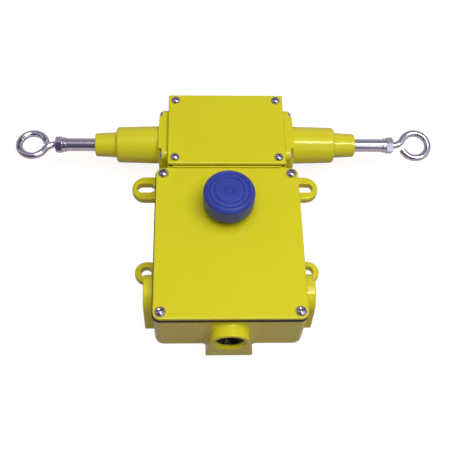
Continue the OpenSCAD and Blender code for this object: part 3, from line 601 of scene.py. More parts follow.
class SwitchStage(bpy.types.PropertyGroup):
    azimuth: angle("Azimuth", "Turn of the camera about the upright", -4.47)
    elevation: angle("Elevation", "Height of the camera above the floor, as an angle", 60.58)
    roll: angle("Roll", "Turn of the camera about its own line of sight", 3.83)
    distance: length("Distance", "Distance of the camera from its target", 683.6)
    target: FloatVectorProperty(name="Target", description="Point in the middle of the view", size=3,
                                precision=5, default=(-0.00373, -0.02914, 0.06623), unit="LENGTH")
    lens: FloatProperty(name="Lens", description="Focal length in millimetres on a 36 mm sensor",
                        default=61.57)
    floor: length("Floor", "Width of the floor", 6000)
    tent: tint("Tent", "Colour of the studio's soft light", (0.21, 0.19, 0.2))


class SwitchSettings(bpy.types.PropertyGroup):
    casting: PointerProperty(type=SwitchCasting)
    covers: PointerProperty(type=SwitchCovers)
    ends: PointerProperty(type=SwitchEnds)
    rod: PointerProperty(type=SwitchRod)
    screws: PointerProperty(type=SwitchScrews)
    button: PointerProperty(type=SwitchButton)
    colours: PointerProperty(type=SwitchColours)
    stage: PointerProperty(type=SwitchStage)


# ---------- casting ----------

# Radii of the screws' shanks, and the play round them in the covers and flanges.
MAIN_SHANK, MECH_SHANK, FLANGE_SHANK = 2.3 * MM, 2.0 * MM, 1.9 * MM
SHANK_PLAY = 0.3 * MM
# Radii of the bosses under the covers' screws.
MAIN_BOSS, MECH_BOSS = 6.2 * MM, 5.4 * MM
# Middles of the posts that carry the chassis plate.
CHASSIS_POSTS = ((-40 * MM, -6 * MM), (40 * MM, -6 * MM), (-49 * MM, 23 * MM), (49 * MM, 23 * MM))
# Height of the boss that takes the earth screw.
EARTH_TOP = 9 * MM
# How far a cutter goes past the face it opens, and a joined shape into its neighbour.
PAST = 1 * MM


def plate_profile(height, lower_edge, upper_edge):
    """Profile of a flat piece: up its side, with both edges rounded; it begins and ends just inside."""
    inset = max(lower_edge, upper_edge) * 1.05
    return rounded([(-inset, 0), (0, 0), (0, height), (-inset, height)], [lower_edge, upper_edge])


def hole_profile(depth, edge, clear=2 * MM):
    """Profile of a cutter for a hole from z = 0 to depth, flared by a quarter round at the top edge."""
    flare = np.linspace(0, QUARTER, 6)
    curve = np.stack([edge * (1 - np.cos(flare)), depth - edge + edge * np.sin(flare)], axis=-1)
    return np.vstack([[(0, -clear)], curve, [(edge, depth + clear)]])


def post(x, y, z0, z1, radius, edge=0.4 * MM):
    """Round post or boss along Z with an eased top edge."""
    return shell(lofted(circle(x, y, radius), rounded([(0, z0), (0, z1), (-edge * 1.2, z1)], [edge])))


def drilled(x, y, z0, z1, radius):
    """Cutter for a round hole along Z."""
    return shell(lofted(circle(x, y, radius), [(0, z0), (0, z1)]))


def cover_spots(screws):
    """Screw centres of the wiring cover and of the mechanism cover."""
    return (corner_spots("main_cover_screws", screws.main_head / 2, 0, 1),
            corner_spots("mechanism_cover_screws", screws.mech_head / 2, 0, 1))


def flange_spots(screws):
    """Screw centres of a flange, as pairs of Y and Z."""
    return corner_spots("right_end_screws", screws.flange_head / 2, 1, 2)


def hub_places(sizes):
    """Origin, axes (across, up, inwards) and reach of each conduit hub: lower, right and left."""
    low, high = node_box("main_cover")
    side_y = mount("conduit_right")["pos_m"][1]
    down, out = sizes.hub_reach, sizes.side_hub_reach
    rows = (((0, low[1] - down, 0), (1, 0, 0), (0, 1, 0), down),
            ((high[0] + out, side_y, 0), (0, 1, 0), (-1, 0, 0), out),
            ((low[0] - out, side_y, 0), (0, 1, 0), (1, 0, 0), out))
    return [(origin, np.array([across, (0, 0, 1), inwards], float), reach)
            for origin, across, inwards, reach in rows]


def hub_outline(sizes, axis_z):
    """Outline of a hub: round in front, straight flanks, and small rounds at the two feet.

    A flank runs from the foot to the round front along their common tangent, and the foot's
    round touches both the flank and the back.
    """
    foot, radius, small = sizes.hub_foot, sizes.hub, sizes.back_edge
    lean = math.atan2(axis_z, -foot) - math.asin(radius / math.hypot(foot, axis_z))
    tilt = math.degrees(lean) - 90
    reach = small / math.tan((math.pi - lean) / 2)
    return arc_outline([(0, axis_z, radius, tilt, 90), (0, axis_z, radius, 90, 180 - tilt),
                        (reach - foot, small, small, 180 - tilt, 270),
                        (foot - reach, small, small, -90, tilt)], 16)


def hub_rings(sizes, axis_z, reach):
    """A hub drawn along its depth: rounded front edge, straight, then a fillet that sinks in the wall."""
    sunk, flare = 0.03 * MM, sizes.hub_root * 1.15
    profile = rounded([(-sizes.hub_edge * 1.1, 0), (0, 0), (0, reach + sunk), (flare, reach + sunk),
                       (flare, reach + 2 * sizes.wall)], [sizes.hub_edge, sizes.hub_root, 0])
    rings = lofted(hub_outline(sizes, axis_z), profile)
    rings[..., 1] = np.maximum(rings[..., 1], 0)
    return rings


def threaded_bore(sizes, depth, sides=72):
    """Cutter along Z for a threaded hole.

    Radius = bore + height * (V - 1/2), where V falls and rises once per pitch and shifts by one
    pitch per turn; near the mouth the chamfer's cone is wider and takes over.
    """
    along = np.arange(-2 * MM, depth, sizes.pitch / 6)[:, None]
    around = np.linspace(0, 1, sides, endpoint=False)
    wave = np.abs(2 * ((along / sizes.pitch + around) % 1) - 1)
    cone = sizes.mouth - np.clip(along / sizes.chamfer, 0, None) * (sizes.mouth - sizes.bore)
    radius = np.maximum(sizes.bore + sizes.thread * (wave - 0.5), cone)
    return about_z(radius, FULL_TURN * around, along)


def lugs(sizes):
    """The four mounting lugs, and the cutters for their slots and holes."""
    root, foot_edge = 40 * MM, 0.6 * MM
    ear, flare = plate_profile(sizes.lug, foot_edge, sizes.lug_edge), hole_profile(sizes.lug, sizes.slot_edge)
    slots, holes = mount("mounting_slots"), mount("mounting_holes")
    slot_x, hole_x = (m["dims"]["spacing_x_mm"] * MM / 2 for m in (slots, holes))
    slot_r, hole_r = (m["dims"]["hole_r_mm"] * MM for m in (slots, holes))
    slot_y, hole_y = (m["pos_m"][1] for m in (slots, holes))
    half = slots["dims"]["slot_length_mm"] * MM / 2 - slot_r
    ears, cutters = [], []
    for side in (-1, 1):
        ears += [shell(mirrored(lofted(outline, ear), side)) for outline in (
            stadium(root, sizes.slot_ear_reach - sizes.slot_ear, slot_y, sizes.slot_ear),
            stadium(root, hole_x, hole_y, sizes.hole_ear))]
        cutters += [shell(mirrored(lofted(outline, flare), side)) for outline in (
            stadium(slot_x - half, slot_x + half, slot_y, slot_r), circle(hole_x, hole_y, hole_r))]
    return ears, cutters


def rooms(sizes, screws, rim):
    """The hollow of both compartments as one closed shell; the screws' bosses stand in it."""
    wall, floor_edge = sizes.wall, 1.5 * MM
    cavity = rounded([(-floor_edge * 1.1, wall), (0, wall), (0, rim + wall)], [floor_edge])
    mesh = new_mesh(*[shell(lofted(box_outline(*node_box(cover), sizes.inner_corner, -wall), cavity))
                      for cover in ("main_cover", "mechanism_cover")])
    mesh = joined(mesh, "DIFFERENCE", *[
        drilled(x, y, -wall, rim + 2 * wall, radius)
        for spots, radius in zip(cover_spots(screws), (MAIN_BOSS, MECH_BOSS)) for x, y in spots])
    points = np.empty(len(mesh.vertices) * 3)
    mesh.vertices.foreach_get("co", points)
    faces = [list(face.vertices) for face in mesh.polygons]
    bpy.data.meshes.remove(mesh)
    return points.reshape(-1, 3), faces


def fittings(sizes, rim):
    """Chassis posts, pivot boss, earth boss, and the thin ridge that stands between the two covers."""
    low, high = node_box("mechanism_cover")
    inset, edge, height = 0.01 * MM, 0.2 * MM, 2.8 * MM
    ridge_start, ridge_end = 39.7 * MM, 41.3 * MM
    ridge = rectangle(low[0] + sizes.wall + inset, ridge_start, high[0] - sizes.wall - inset, ridge_end,
                      2 * edge)
    ridge_profile = [(0, rim - PAST), (0, rim + height - edge), (-edge, rim + height)]
    plate_z, lever_z = node_box("chassis_plate")[0][2], node_box("trip_lever")[0][2]
    post_r, pivot_r, earth_r = 4.5 * MM, 8 * MM, 6 * MM
    in_back_wall, lever_gap = 1 * MM, 1 * MM
    return [*(post(x, y, in_back_wall, plate_z, post_r) for x, y in CHASSIS_POSTS),
            post(*middle("trip_pivot_pin")[:2], in_back_wall, lever_z - lever_gap, pivot_r),
            post(*middle("ground_screw")[:2], in_back_wall, EARTH_TOP, earth_r),
            shell(lofted(ridge, ridge_profile))]


def openings(sizes, spigot, screws, rim, hub_z):
    """Cutters for the conduit threads, the ends, the tapped holes, the gasket's step and the window."""
    thread_run = 13 * MM
    cutters = [shell(placed(threaded_bore(sizes, reach + thread_run), np.array(origin) + [0, 0, hub_z], axes))
               for origin, axes, reach in hub_places(sizes)]
    main_low, main_high = node_box("main_cover")
    mech_low, mech_high = node_box("mechanism_cover")
    inner_x, outer_x = mech_high[0] - sizes.wall - PAST, mech_high[0] + PAST
    spigot_r = spigot + 0.05 * MM
    spigot_hole = turned([(spigot_r, inner_x), (spigot_r, outer_x)])
    tapped_hole = turned([(FLANGE_SHANK, inner_x), (FLANGE_SHANK, outer_x)], 24)
    for _, side in ENDS:
        cutters.append(along_x(spigot_hole, shaft_axis(), side))
        cutters += [along_x(tapped_hole, (0, y, z), side) for y, z in flange_spots(screws)]
    tap_depth, tap_foot = 12 * MM, 3 * MM
    for spots, shank in zip(cover_spots(screws), (MAIN_SHANK, MECH_SHANK)):
        cutters += [drilled(x, y, rim - tap_depth, rim + PAST, shank) for x, y in spots]
    plate_z, lever_z = node_box("chassis_plate")[0][2], node_box("trip_lever")[0][2]
    post_r, earth_r, pivot_r, pivot_foot = 1.9 * MM, 2.3 * MM, 4 * MM, node_box("trip_pivot_pin")[0][2]
    cutters += [drilled(x, y, tap_foot, plate_z + PAST, post_r) for x, y in CHASSIS_POSTS]
    cutters += [drilled(*middle("ground_screw")[:2], tap_foot, EARTH_TOP + PAST, earth_r),
                drilled(*middle("trip_pivot_pin")[:2], pivot_foot, lever_z, pivot_r)]
    deep, clear = rim - sizes.rebate_depth, rim + PAST
    step = [(PAST, deep), (PAST, clear), (-sizes.rebate, clear), (-sizes.rebate, deep)]
    cutters.append(shell(lofted(box_outline(main_low, main_high, sizes.corner), step), loop=True))
    half, window_z = 15.5 * MM, (40 * MM, 48 * MM)
    past_wall = sizes.wall + PAST
    window = rectangle(-half, main_high[1] - past_wall, half, mech_low[1] + past_wall, 0.5 * MM)
    cutters.append(shell(lofted(window, [(0, height) for height in window_z])))
    return cutters


def paint_shade_in_bare_threads(piece, sizes, hub_z):
    """Gives the small faces in the conduit bores, past the painted mouths, a second finish: unpainted metal,
    made dark enough to paint the shade deep in the bores.
    """
    piece.data.materials.append(bpy.data.materials[finish_name("bare_casting")])
    faces, largest = piece.data.polygons, 20 * MM ** 2
    centres, areas = np.empty(len(faces) * 3), np.empty(len(faces))
    faces.foreach_get("center", centres)
    faces.foreach_get("area", areas)
    thread_shade_mask = np.zeros(len(faces), dtype=np.int32)
    for origin, axes, _ in hub_places(sizes):
        from_mouth = centres.reshape(-1, 3) - origin - [0, 0, hub_z]
        across, beside, along = (from_mouth @ axes.T).T
        in_bore = np.hypot(across, beside) < sizes.bore + sizes.thread
        thread_shade_mask |= in_bore & (along > sizes.shaded_thread_from) & (areas < largest)
    faces.foreach_set("material_index", thread_shade_mask)


class PULLSWITCH_OT_casting(bpy.types.Operator):
    """Builds the body casting: two compartments, four lugs and three threaded conduit hubs"""
    bl_idname = "pull_switch.casting"
    bl_label = "Body casting"

    def execute(self, context):
        switch = context.scene.pull_switch
        sizes, screws = switch.casting, switch.screws
        mech_low, mech_high = node_box("mechanism_cover")
        rim = node_box("main_gasket")[0][2]
        hub_z = mount("conduit_lower")["pos_m"][2]
        tub = plate_profile(rim, sizes.back_edge, sizes.rim_edge)
        ears, cutters = lugs(sizes)
        small_tub = rectangle(mech_low[0], 0, mech_high[0], mech_high[1], sizes.corner)
        mesh = new_mesh(shell(lofted(box_outline(*node_box("main_cover"), sizes.corner), tub)))
        mesh = joined(mesh, "UNION", shell(lofted(small_tub, tub)))
        mesh = joined(mesh, "UNION", *ears)
        mesh = joined(mesh, "UNION", *[shell(placed(hub_rings(sizes, hub_z, reach), origin, axes))
                                       for origin, axes, reach in hub_places(sizes)])
        mesh = joined(mesh, "DIFFERENCE", rooms(sizes, screws, rim))
        mesh = joined(mesh, "UNION", *fittings(sizes, rim))
        cutters += openings(sizes, switch.ends.spigot, screws, rim, hub_z)
        mesh = joined(mesh, "DIFFERENCE", *cutters)
        piece = add_piece("cast_body", mesh, "housing", "yellow_paint", "body_casting")
        # The threads deep in the bores get the dark finish that paints their shade.
        paint_shade_in_bare_threads(piece, sizes, hub_z)
        return {"FINISHED"}


class PULLSWITCH_OT_gasket(bpy.types.Operator):
    """Builds the wiring compartment's gasket: a ring in the step of the rim that peeps out under the cover"""
    bl_idname = "pull_switch.gasket"
    bl_label = "Wiring cover gasket"

    def execute(self, context):
        switch = context.scene.pull_switch
        casting, sizes = switch.casting, switch.covers
        low, high = node_box("main_cover")
        foot, top = (corner[2] for corner in node_box("main_gasket"))
        spots, _ = cover_spots(switch.screws)
        gap, edge, seam, far = 0.1 * MM, 0.3 * MM, 0.02 * MM, 9 * MM
        grow, shift = sizes.gasket_reach, sizes.gasket_shift
        bottom = foot - casting.rebate_depth + gap
        ring = rectangle(low[0] - grow - shift, low[1] - grow, high[0] + grow - shift, high[1] + grow,
                         sizes.main_corner)
        mesh = new_mesh(shell(lofted(ring, [(-edge, bottom), (0, bottom + edge), (0, top - gap),
                                            (-seam / 2, top - seam)])))
        room = box_outline(low, high, casting.inner_corner, -casting.wall)
        mesh = joined(mesh, "DIFFERENCE", shell(lofted(room, [(0, foot - far), (0, top + far)])))
        mesh = joined(mesh, "UNION", *[post(x, y, foot + gap, top - seam, MAIN_BOSS) for x, y in spots])
        land = lofted(box_outline(low, high, casting.corner),
                      [(gap - casting.rebate, foot - far), (gap - casting.rebate, foot + seam)])
        mesh = joined(mesh, "DIFFERENCE", shell(land))
        mesh = joined(mesh, "DIFFERENCE", *[drilled(x, y, foot - PAST, top + PAST, MAIN_SHANK + SHANK_PLAY)
                                            for x, y in spots])
        add_piece("wiring_cover_gasket", mesh, "housing", "dark_rubber", "main_gasket")
        return {"FINISHED"}


# ---------- covers ----------

class PULLSWITCH_OT_covers(bpy.types.Operator):
    """Builds the wiring cover and the mechanism cover: flat plates with eased edges and drilled corners"""
    bl_idname = "pull_switch.covers"
    bl_label = "Covers"

    def execute(self, context):
        sizes = context.scene.pull_switch.covers
        main_spots, mech_spots = cover_spots(context.scene.pull_switch.screws)
        back_edge, bush_hole = 0.3 * MM, 8.05 * MM
        rows = (("main_cover", sizes.main_corner, main_spots, MAIN_SHANK),
                ("mechanism_cover", sizes.mech_corner, mech_spots, MECH_SHANK))
        for node, corner, spots, shank in rows:
            low, high = node_box(node)
            profile = plate_profile(high[2] - low[2], back_edge, sizes.edge) + [0, low[2]]
            holes = [(x, y, shank + SHANK_PLAY) for x, y in spots]
            if node == "main_cover":
                holes.append((*middle("reset_bush")[:2], bush_hole))
            mesh = new_mesh(shell(lofted(box_outline(low, high, corner), profile)))
            mesh = joined(mesh, "DIFFERENCE", *[drilled(x, y, low[2] - PAST, high[2] + PAST, radius)
                                                for x, y, radius in holes])
            add_piece(f"{node}_plate", mesh, "housing", "yellow_paint", node)
        return {"FINISHED"}


# ---------- end housings ----------

def end_housing(sizes, spots, side):
    """Mesh of an end housing, drawn for the right end; side -1 makes the left one.

    Its levels along X are start, the outer face of the end gasket; boss_x, the flange's face;
    cone_x, the boss's face; and cone_stop, the large cone's shoulder. Turned parts are profiles
    of (radius, X) about the shaft, and the flange's parts are outlines in Y and Z.
    """
    def about_shaft(profile, sides=128):
        return along_x(turned(profile, sides), shaft_axis(), side)

    def across(outline, profile):
        return along_x(lofted(outline, profile), (0, 0, 0), side)

    low, high = node_box("right_end_housing")
    gasket_low, gasket_high = node_box("right_end_gasket")
    start, back = gasket_high[0], gasket_low[0] + 0.1 * MM
    boss_x = start + sizes.flange
    cone_x = boss_x + sizes.boss_height
    cone_stop = cone_x + sizes.cone_length
    plate = box_outline(low[1:], high[1:], sizes.flange_corner)

    disc = rounded([(boss_x - PAST, sizes.boss), (cone_x - sizes.boss_slope, sizes.boss),
                    (cone_x, sizes.cone_root + 2 * MM), (cone_x, sizes.cone_root - 2 * MM)],
                   [1.2 * MM, 2 * MM])[:, ::-1]
    mesh = new_mesh(about_shaft(disc))
    inset, far = 0.4 * MM, 2 * MM
    mesh = joined(mesh, "INTERSECT", across(plate, [(-inset, boss_x - far), (-inset, cone_x + PAST)]))
    pocket = hole_profile(cone_x, 0.8 * MM)
    pocket[0, 1] = boss_x - 3 * MM
    mesh = joined(mesh, "DIFFERENCE", *[across(circle(y, z, sizes.spot), pocket) for y, z in spots])

    flange = plate_profile(boss_x - back, 0.7 * MM, sizes.flange_edge) + [0, back]
    mesh = joined(mesh, "UNION", across(plate, flange))

    base, sunk = sizes.cone_root + 3 * MM, cone_x - 0.1 * MM
    cones = rounded([(boss_x - PAST, base), (sunk, base), (sunk, sizes.cone_root),
                     (cone_stop, sizes.cone_end), (cone_stop, sizes.tip_root),
                     (high[0], sizes.tip_end), (high[0], sizes.bush_bore - 1 * MM)],
                    [0, 1.6 * MM, sizes.shoulder, 0.8 * MM, sizes.tip_edge])[:, ::-1]
    mesh = joined(mesh, "UNION", about_shaft(cones))

    seat = box_outline(gasket_low[1:], gasket_high[1:], sizes.flange_corner - 0.6 * MM, 0.04 * MM)
    mesh = joined(mesh, "DIFFERENCE", across(seat, [(0, back - PAST), (0, start)]))
    mesh = joined(mesh, "UNION", about_shaft([(sizes.spigot, start + PAST),
                                              (sizes.spigot, start - sizes.spigot_length)]))
    bore_stop = cone_stop - sizes.end_wall
    bore = [(sizes.spring_bore, start - 2 * sizes.spigot_length), (sizes.spring_bore, bore_stop),
            (sizes.bush_bore, bore_stop), (sizes.bush_bore, high[0] - 0.4 * MM),
            (sizes.bush_bore + 1.4 * MM, high[0] + PAST)]
    holes = [across(circle(y, z, FLANGE_SHANK + SHANK_PLAY), [(0, back - PAST), (0, boss_x + PAST)])
             for y, z in spots]
    return joined(mesh, "DIFFERENCE", about_shaft(bore, 96), *holes)


class PULLSWITCH_OT_end_housings(bpy.types.Operator):
    """Builds both end housings: flange, flat boss with screw pockets, large cone, small cone and bores"""
    bl_idname = "pull_switch.end_housings"
    bl_label = "End housings"

    def execute(self, context):
        switch = context.scene.pull_switch
        for name, side in ENDS:
            mesh = end_housing(switch.ends, flange_spots(switch.screws), side)
            add_piece(f"{name}_cone_housing", mesh, "housing", "yellow_paint", f"{name}_end_housing")
        return {"FINISHED"}


# ---------- screws ----------

def pan_head_screw(head_d, shank_r, shank_l, sides=72):
    """Screw about Z with its head seated on z = 0.

    The head's height is a ball's: h - R + sqrt(R^2 - r^2). A cross is sunk in it where the point
    lies within half the cross's width of one arm and within its length along it, with sloping sides.
    """
    head_r, head_h, ball = head_d / 2, 0.34 * head_d, 0.62 * head_d
    half_w, half_l, slope, deep = 0.065 * head_d, 0.27 * head_d, 0.05 * head_d, 0.2 * head_d
    angle = np.linspace(0, FULL_TURN, sides, endpoint=False)
    radius = np.linspace(0.01, 1, 34)[:, None] * head_r
    arms = np.sort(np.abs([np.cos(angle), np.sin(angle)]), axis=0)
    outside = np.maximum(radius * arms[0] - half_w, radius * arms[1] - half_l)
    sunk = deep * np.clip(0.5 - outside / slope, 0, 1)
    rim = 0.34 * head_h * np.clip((radius / head_r - 0.84) / 0.16, 0, 1) ** 2
    top = head_h - ball + np.sqrt(ball ** 2 - radius ** 2) - sunk - rim
    point = 0.7 * MM
    tail = turned([(head_r, 0), (shank_r, 0), (shank_r, point - shank_l), (shank_r - point, -shank_l)], sides)
    return np.concatenate([about_z(radius, angle, top), tail])


class PULLSWITCH_OT_screws(bpy.types.Operator):
    """Builds the cross-recessed pan-head screws of the covers and of both flanges, each turned its own way"""
    bl_idname = "pull_switch.screws"
    bl_label = "Screws"

    def execute(self, context):
        sizes = context.scene.pull_switch.screws
        top = node_box("main_cover")[1][2]
        seat = node_box("right_end_gasket")[1][0] + context.scene.pull_switch.ends.flange
        pieces = []
        for node, spots, head, shank, turns in zip(
                ("main_cover_screws", "mechanism_cover_screws"), cover_spots(sizes),
                (sizes.main_head, sizes.mech_head), (MAIN_SHANK, MECH_SHANK),
                ((0.5, 1.15, 0.2, 0.75), (0.95, 0.3, 0.6, 1.3))):
            grid = pan_head_screw(head + 2 * sizes.swell, shank, top - node_box(node)[0][2])
            pieces.append((node, [shell(placed(grid, (x, y, top), turn=turn))
                                  for (x, y), turn in zip(spots, turns)]))
        grid = pan_head_screw(sizes.flange_head, FLANGE_SHANK, seat - node_box("right_end_screws")[0][0])
        for (name, side), turns in zip(ENDS, ((0.3, 0.8, 1.2, 0.1), (0.9, 0.2, 0.6, 1.1))):
            pieces.append((f"{name}_end_screws", [along_x(grid, (seat, y, z), side, turn)
                                                  for (y, z), turn in zip(flange_spots(sizes), turns)]))
        for node, shells in pieces:
            add_piece(f"{node}_pan_head", new_mesh(*shells), "housing", "chrome_screw", node, soft_angle=28)
        return {"FINISHED"}


# ---------- shaft, washers, nuts and eye bolts ----------

def jam_nut(flats, bore, thickness, sides=96):
    """Hexagon nut along Z.

    Its radius is the smaller of the hexagon's, flats / 2 / cos(angle from the middle of a side),
    and a cone's that starts inside the flats at each face and widens by 1.73 per unit of depth.
    """
    angle = np.linspace(0, FULL_TURN, sides, endpoint=False)
    hexagon = flats / 2 / np.cos(angle % (FULL_TURN / 6) - FULL_TURN / 12)
    near_face = np.linspace(0, 1, 9)
    depth = np.concatenate([near_face, [thickness / MM / 2], thickness / MM - near_face[::-1]])[:, None] * MM
    cone = 0.482 * flats + 1.73 * np.minimum(depth, thickness - depth)
    body = about_z(np.minimum(hexagon, cone), angle, depth)
    ease = 0.5 * MM
    return np.concatenate([turned([(bore, ease), (bore + ease, 0)], sides), body,
                           turned([(bore + ease, thickness), (bore, thickness - ease)], sides)])


def split_washer(inner, outer, thickness, gap):
    """Spring washer about Z: a rounded section carried round from one side of the gap to the other."""
    centres, directions, radii = rectangle(inner, 0, outer, thickness, 0.35 * MM, 4)
    section = centres + radii[:, None] * directions
    half = gap / 2 / outer
    return about_z(section[:, 0], np.linspace(half, FULL_TURN - half, 90)[:, None], section[:, 1])


def eye_bolt(sizes, start, bend_x, eye_x, eye_end):
    """Open eye bolt in the plane of X and Y, with its shank on the X axis.

    The centre line is a straight shank, an arc that bends it towards +Y, a short straight stretch
    and the eye's arc the other way, each taking up the heading where the last one ends. The bend's
    radius and angle follow from the eye's place: both arcs touch the straight stretch.
    """
    run = eye_x - bend_x
    bend_r = (run ** 2 - sizes.eye ** 2 - sizes.tangent ** 2) / (2 * sizes.eye)
    bend = math.atan2(run, bend_r) - math.atan2(sizes.tangent, sizes.eye + bend_r)
    first = np.linspace(0, bend, 20)
    around = np.linspace(QUARTER + bend, -eye_end, 110)
    ease = 0.3 * MM / sizes.eye
    around = np.append(around, around[-1] - ease)
    shank = np.linspace(start, bend_x, 6)[:-1]
    line = [np.stack([shank, 0 * shank], axis=-1),
            np.stack([bend_x + bend_r * np.sin(first), bend_r - bend_r * np.cos(first)], axis=-1),
            np.stack([eye_x + sizes.eye * np.cos(around), sizes.eye * np.sin(around)], axis=-1)]
    heading = np.concatenate([0 * shank, first, around - QUARTER])
    line = np.vstack(line)
    centres = np.concatenate([line, 0 * line[:, :1]], axis=1)
    across = np.stack([-np.sin(heading), np.cos(heading), 0 * heading], axis=-1)
    beside = np.broadcast_to([0.0, 0, 1], across.shape)
    radii = np.full(len(centres), sizes.wire)
    radii[[0, -1]] -= 0.35 * MM
    return tube(centres, across, beside, radii, 36)


def shaft_mesh(sizes, axis):
    """Mesh of the pull shaft: tapped ends, rings all along its side and a cross hole for the drive pin."""
    low, high = node_box("pull_shaft")
    radius, end, edge, tap_edge = (high[2] - low[2]) / 2, high[0], 0.5 * MM, 0.6 * MM
    profile = rounded([(sizes.tap, sizes.tap_depth - end), (sizes.tap, -end), (radius, -end), (radius, end),
                       (sizes.tap, end), (sizes.tap, end - sizes.tap_depth)],
                      [tap_edge, edge, edge, tap_edge])
    side = np.linspace(2 * edge - end, end - 2 * edge, 40)
    half = len(profile) // 2
    profile = np.vstack([profile[:half], np.stack([0 * side + radius, side], axis=-1), profile[half:]])
    pin_low, pin_high = node_box("drive_pin")
    hole = drilled(0.0, axis[1], axis[2] - 2 * radius, axis[2] + 2 * radius, (pin_high[0] - pin_low[0]) / 2)
    return joined(new_mesh(shell(placed(turned(profile), axis, ALONG_X))), "DIFFERENCE", hole)


class PULLSWITCH_OT_rod_ends(bpy.types.Operator):
    """Builds the pull shaft, and at each end its split washer, jam nut and open eye bolt"""
    bl_idname = "pull_switch.rod_ends"
    bl_label = "Shaft and eye bolts"

    def execute(self, context):
        sizes = context.scene.pull_switch.rod
        axis = shaft_axis()
        add_piece("turned_shaft", shaft_mesh(sizes, axis), "pull_rod", "plated_steel", "pull_shaft")

        washer_low, washer_high = node_box("right_lock_washer")
        nut_low, nut_high = node_box("right_jam_nut")
        nut = jam_nut(sizes.flats, sizes.tap, nut_high[0] - nut_low[0])
        washer = split_washer(sizes.tap + 0.3 * MM, (washer_high[2] - washer_low[2]) / 2,
                              washer_high[0] - washer_low[0], sizes.washer_split)
        start = node_box("right_eye_bolt")[0][0]
        eye_x = mount("rope_eye_right")["pos_m"][0]
        rows = (("hexagon_nut", "jam_nut", nut, nut_low[0], True),
                ("spring_washer", "lock_washer", washer, washer_low[0], False))
        for name, side in ENDS:
            for piece, node, grid, x, loop in rows:
                grid = mirrored(placed(grid, axis + [x, 0, 0], ALONG_X, sizes.nut_turn), side)
                add_piece(f"{name}_{piece}", new_mesh(shell(grid, loop)),
                          "pull_rod", "plated_steel", f"{name}_{node}", soft_angle=24)
            grid = eye_bolt(sizes, start, nut_high[0] + sizes.stub, eye_x, getattr(sizes, f"{name}_eye_end"))
            tilt = sizes.right_tilt if side == 1 else 0.0
            c, s = math.cos(tilt), math.sin(tilt)
            axes = np.array([[side, 0, 0], [0, side * c, side * s], [0, -s, c]])
            add_piece(f"{name}_wire_eye", new_mesh(shell(placed(grid, axis, axes))),
                      "pull_rod", "plated_steel", f"{name}_eye_bolt", soft_angle=40)
        return {"FINISHED"}


# ---------- springs ----------

def add_spring(name, coiled):
    """Adds a spring as a piece on no body, with its place baked into its mesh."""
    spring = add_piece(f"{name}_coil", new_mesh(coiled), None, "spring_steel", f"{name}_spring",
                       soft_angle=60)
    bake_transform(spring)


class PULLSWITCH_OT_springs(bpy.types.Operator):
    """Builds the two centring springs, the reset spring and the latch spring"""
    bl_idname = "pull_switch.springs"
    bl_label = "Springs"

    def execute(self, context):
        axis = shaft_axis()
        low, high = node_box("right_centring_spring")
        grid = coil(mean_r=11.3 * MM, wire_r=1.3 * MM, length=high[0] - low[0], turns=7)
        for name, side in ENDS:
            add_spring(f"{name}_centring", along_x(grid, axis + [low[0], 0, 0], side))
        rows = (("reset", {"mean_r": 6.9 * MM, "wire_r": 0.6 * MM, "turns": 4, "per_turn": 48}),
                ("latch", {"mean_r": 3 * MM, "wire_r": 0.5 * MM, "turns": 6}))
        for name, shape in rows:
            low, high = node_box(f"{name}_spring")
            x, y = (low + high)[:2] / 2
            grid = placed(coil(length=high[2] - low[2], **shape), (x, y, low[2]))
            add_spring(name, shell(grid))
        return {"FINISHED"}


# ---------- reset button ----------

def button_profile(sizes, radius, top, foot, hub_low, stem_top):
    """Half section of the button: the domed face with its rings, the round rim, the skirt and the hub inside.

    The face's height is top + crown (1 - (r / edge)^2), less the rings, which are bell curves;
    the rim falls by drop u^2 over its width.
    """
    edge, rings, ring_width = 1 - sizes.rim / radius, (0.172, 0.578, 0.77), 0.018
    face = np.linspace(0.008, edge, 80)
    sunk = sum(np.exp(-((face - ring) / ring_width) ** 2) for ring in rings)
    crown = sizes.crown * (1 - (face / edge) ** 2)
    dome = np.stack([face * radius, top + crown - sizes.groove * sunk], axis=-1)
    out = np.linspace(0, 1, 13)[1:, None]
    rim = np.concatenate([radius - sizes.rim * (1 - out), top - sizes.rim_drop * out ** 2], axis=1)
    inner, ceiling, near_axis = radius - sizes.wall, top - sizes.hollow, 0.2 * MM
    under = rounded([rim[-2], rim[-1], (radius, foot), (inner, foot), (inner, ceiling), (sizes.hub, ceiling),
                     (sizes.hub, hub_low), (sizes.stem, hub_low), (sizes.stem, stem_top),
                     (near_axis, stem_top)],
                    [0.5 * MM, 0.5 * MM, 0.3 * MM, 1 * MM, 0.8 * MM, 0.4 * MM, 0, 0], 9)
    return np.vstack([dome, rim[:-2], under])


def stem_profile(stem_r, low, high):
    """Half section of the reset stem: a narrow nose, a cone up to full width, and the round rod."""
    nose, cone, near_axis = 2.5 * MM, 4 * MM, 0.1 * MM
    return rounded([(near_axis, low), (nose, low), (nose, low + nose), (stem_r, low + nose + cone),
                    (stem_r, high), (near_axis, high)], [nose * 0.9, 0, 0.6 * MM, 0.4 * MM])


def bush_profile(slide):
    """Section of the bush whose bore has the radius slide: a sleeve through the cover under a flange."""
    low, high = node_box("reset_bush")
    flange_r, seat, sleeve_r = (high[0] - low[0]) / 2, node_box("reset_seal")[1][2], 8 * MM
    return rounded([(slide, low[2] + 0.5 * MM), (slide, low[2]), (sleeve_r, low[2]), (sleeve_r, seat),
                    (flange_r, seat), (flange_r, high[2]), (slide, high[2]), (slide, high[2] - 1 * MM)],
                   [0.2 * MM, 0.5 * MM, 0, 0.4 * MM, 0.6 * MM, 0.4 * MM])


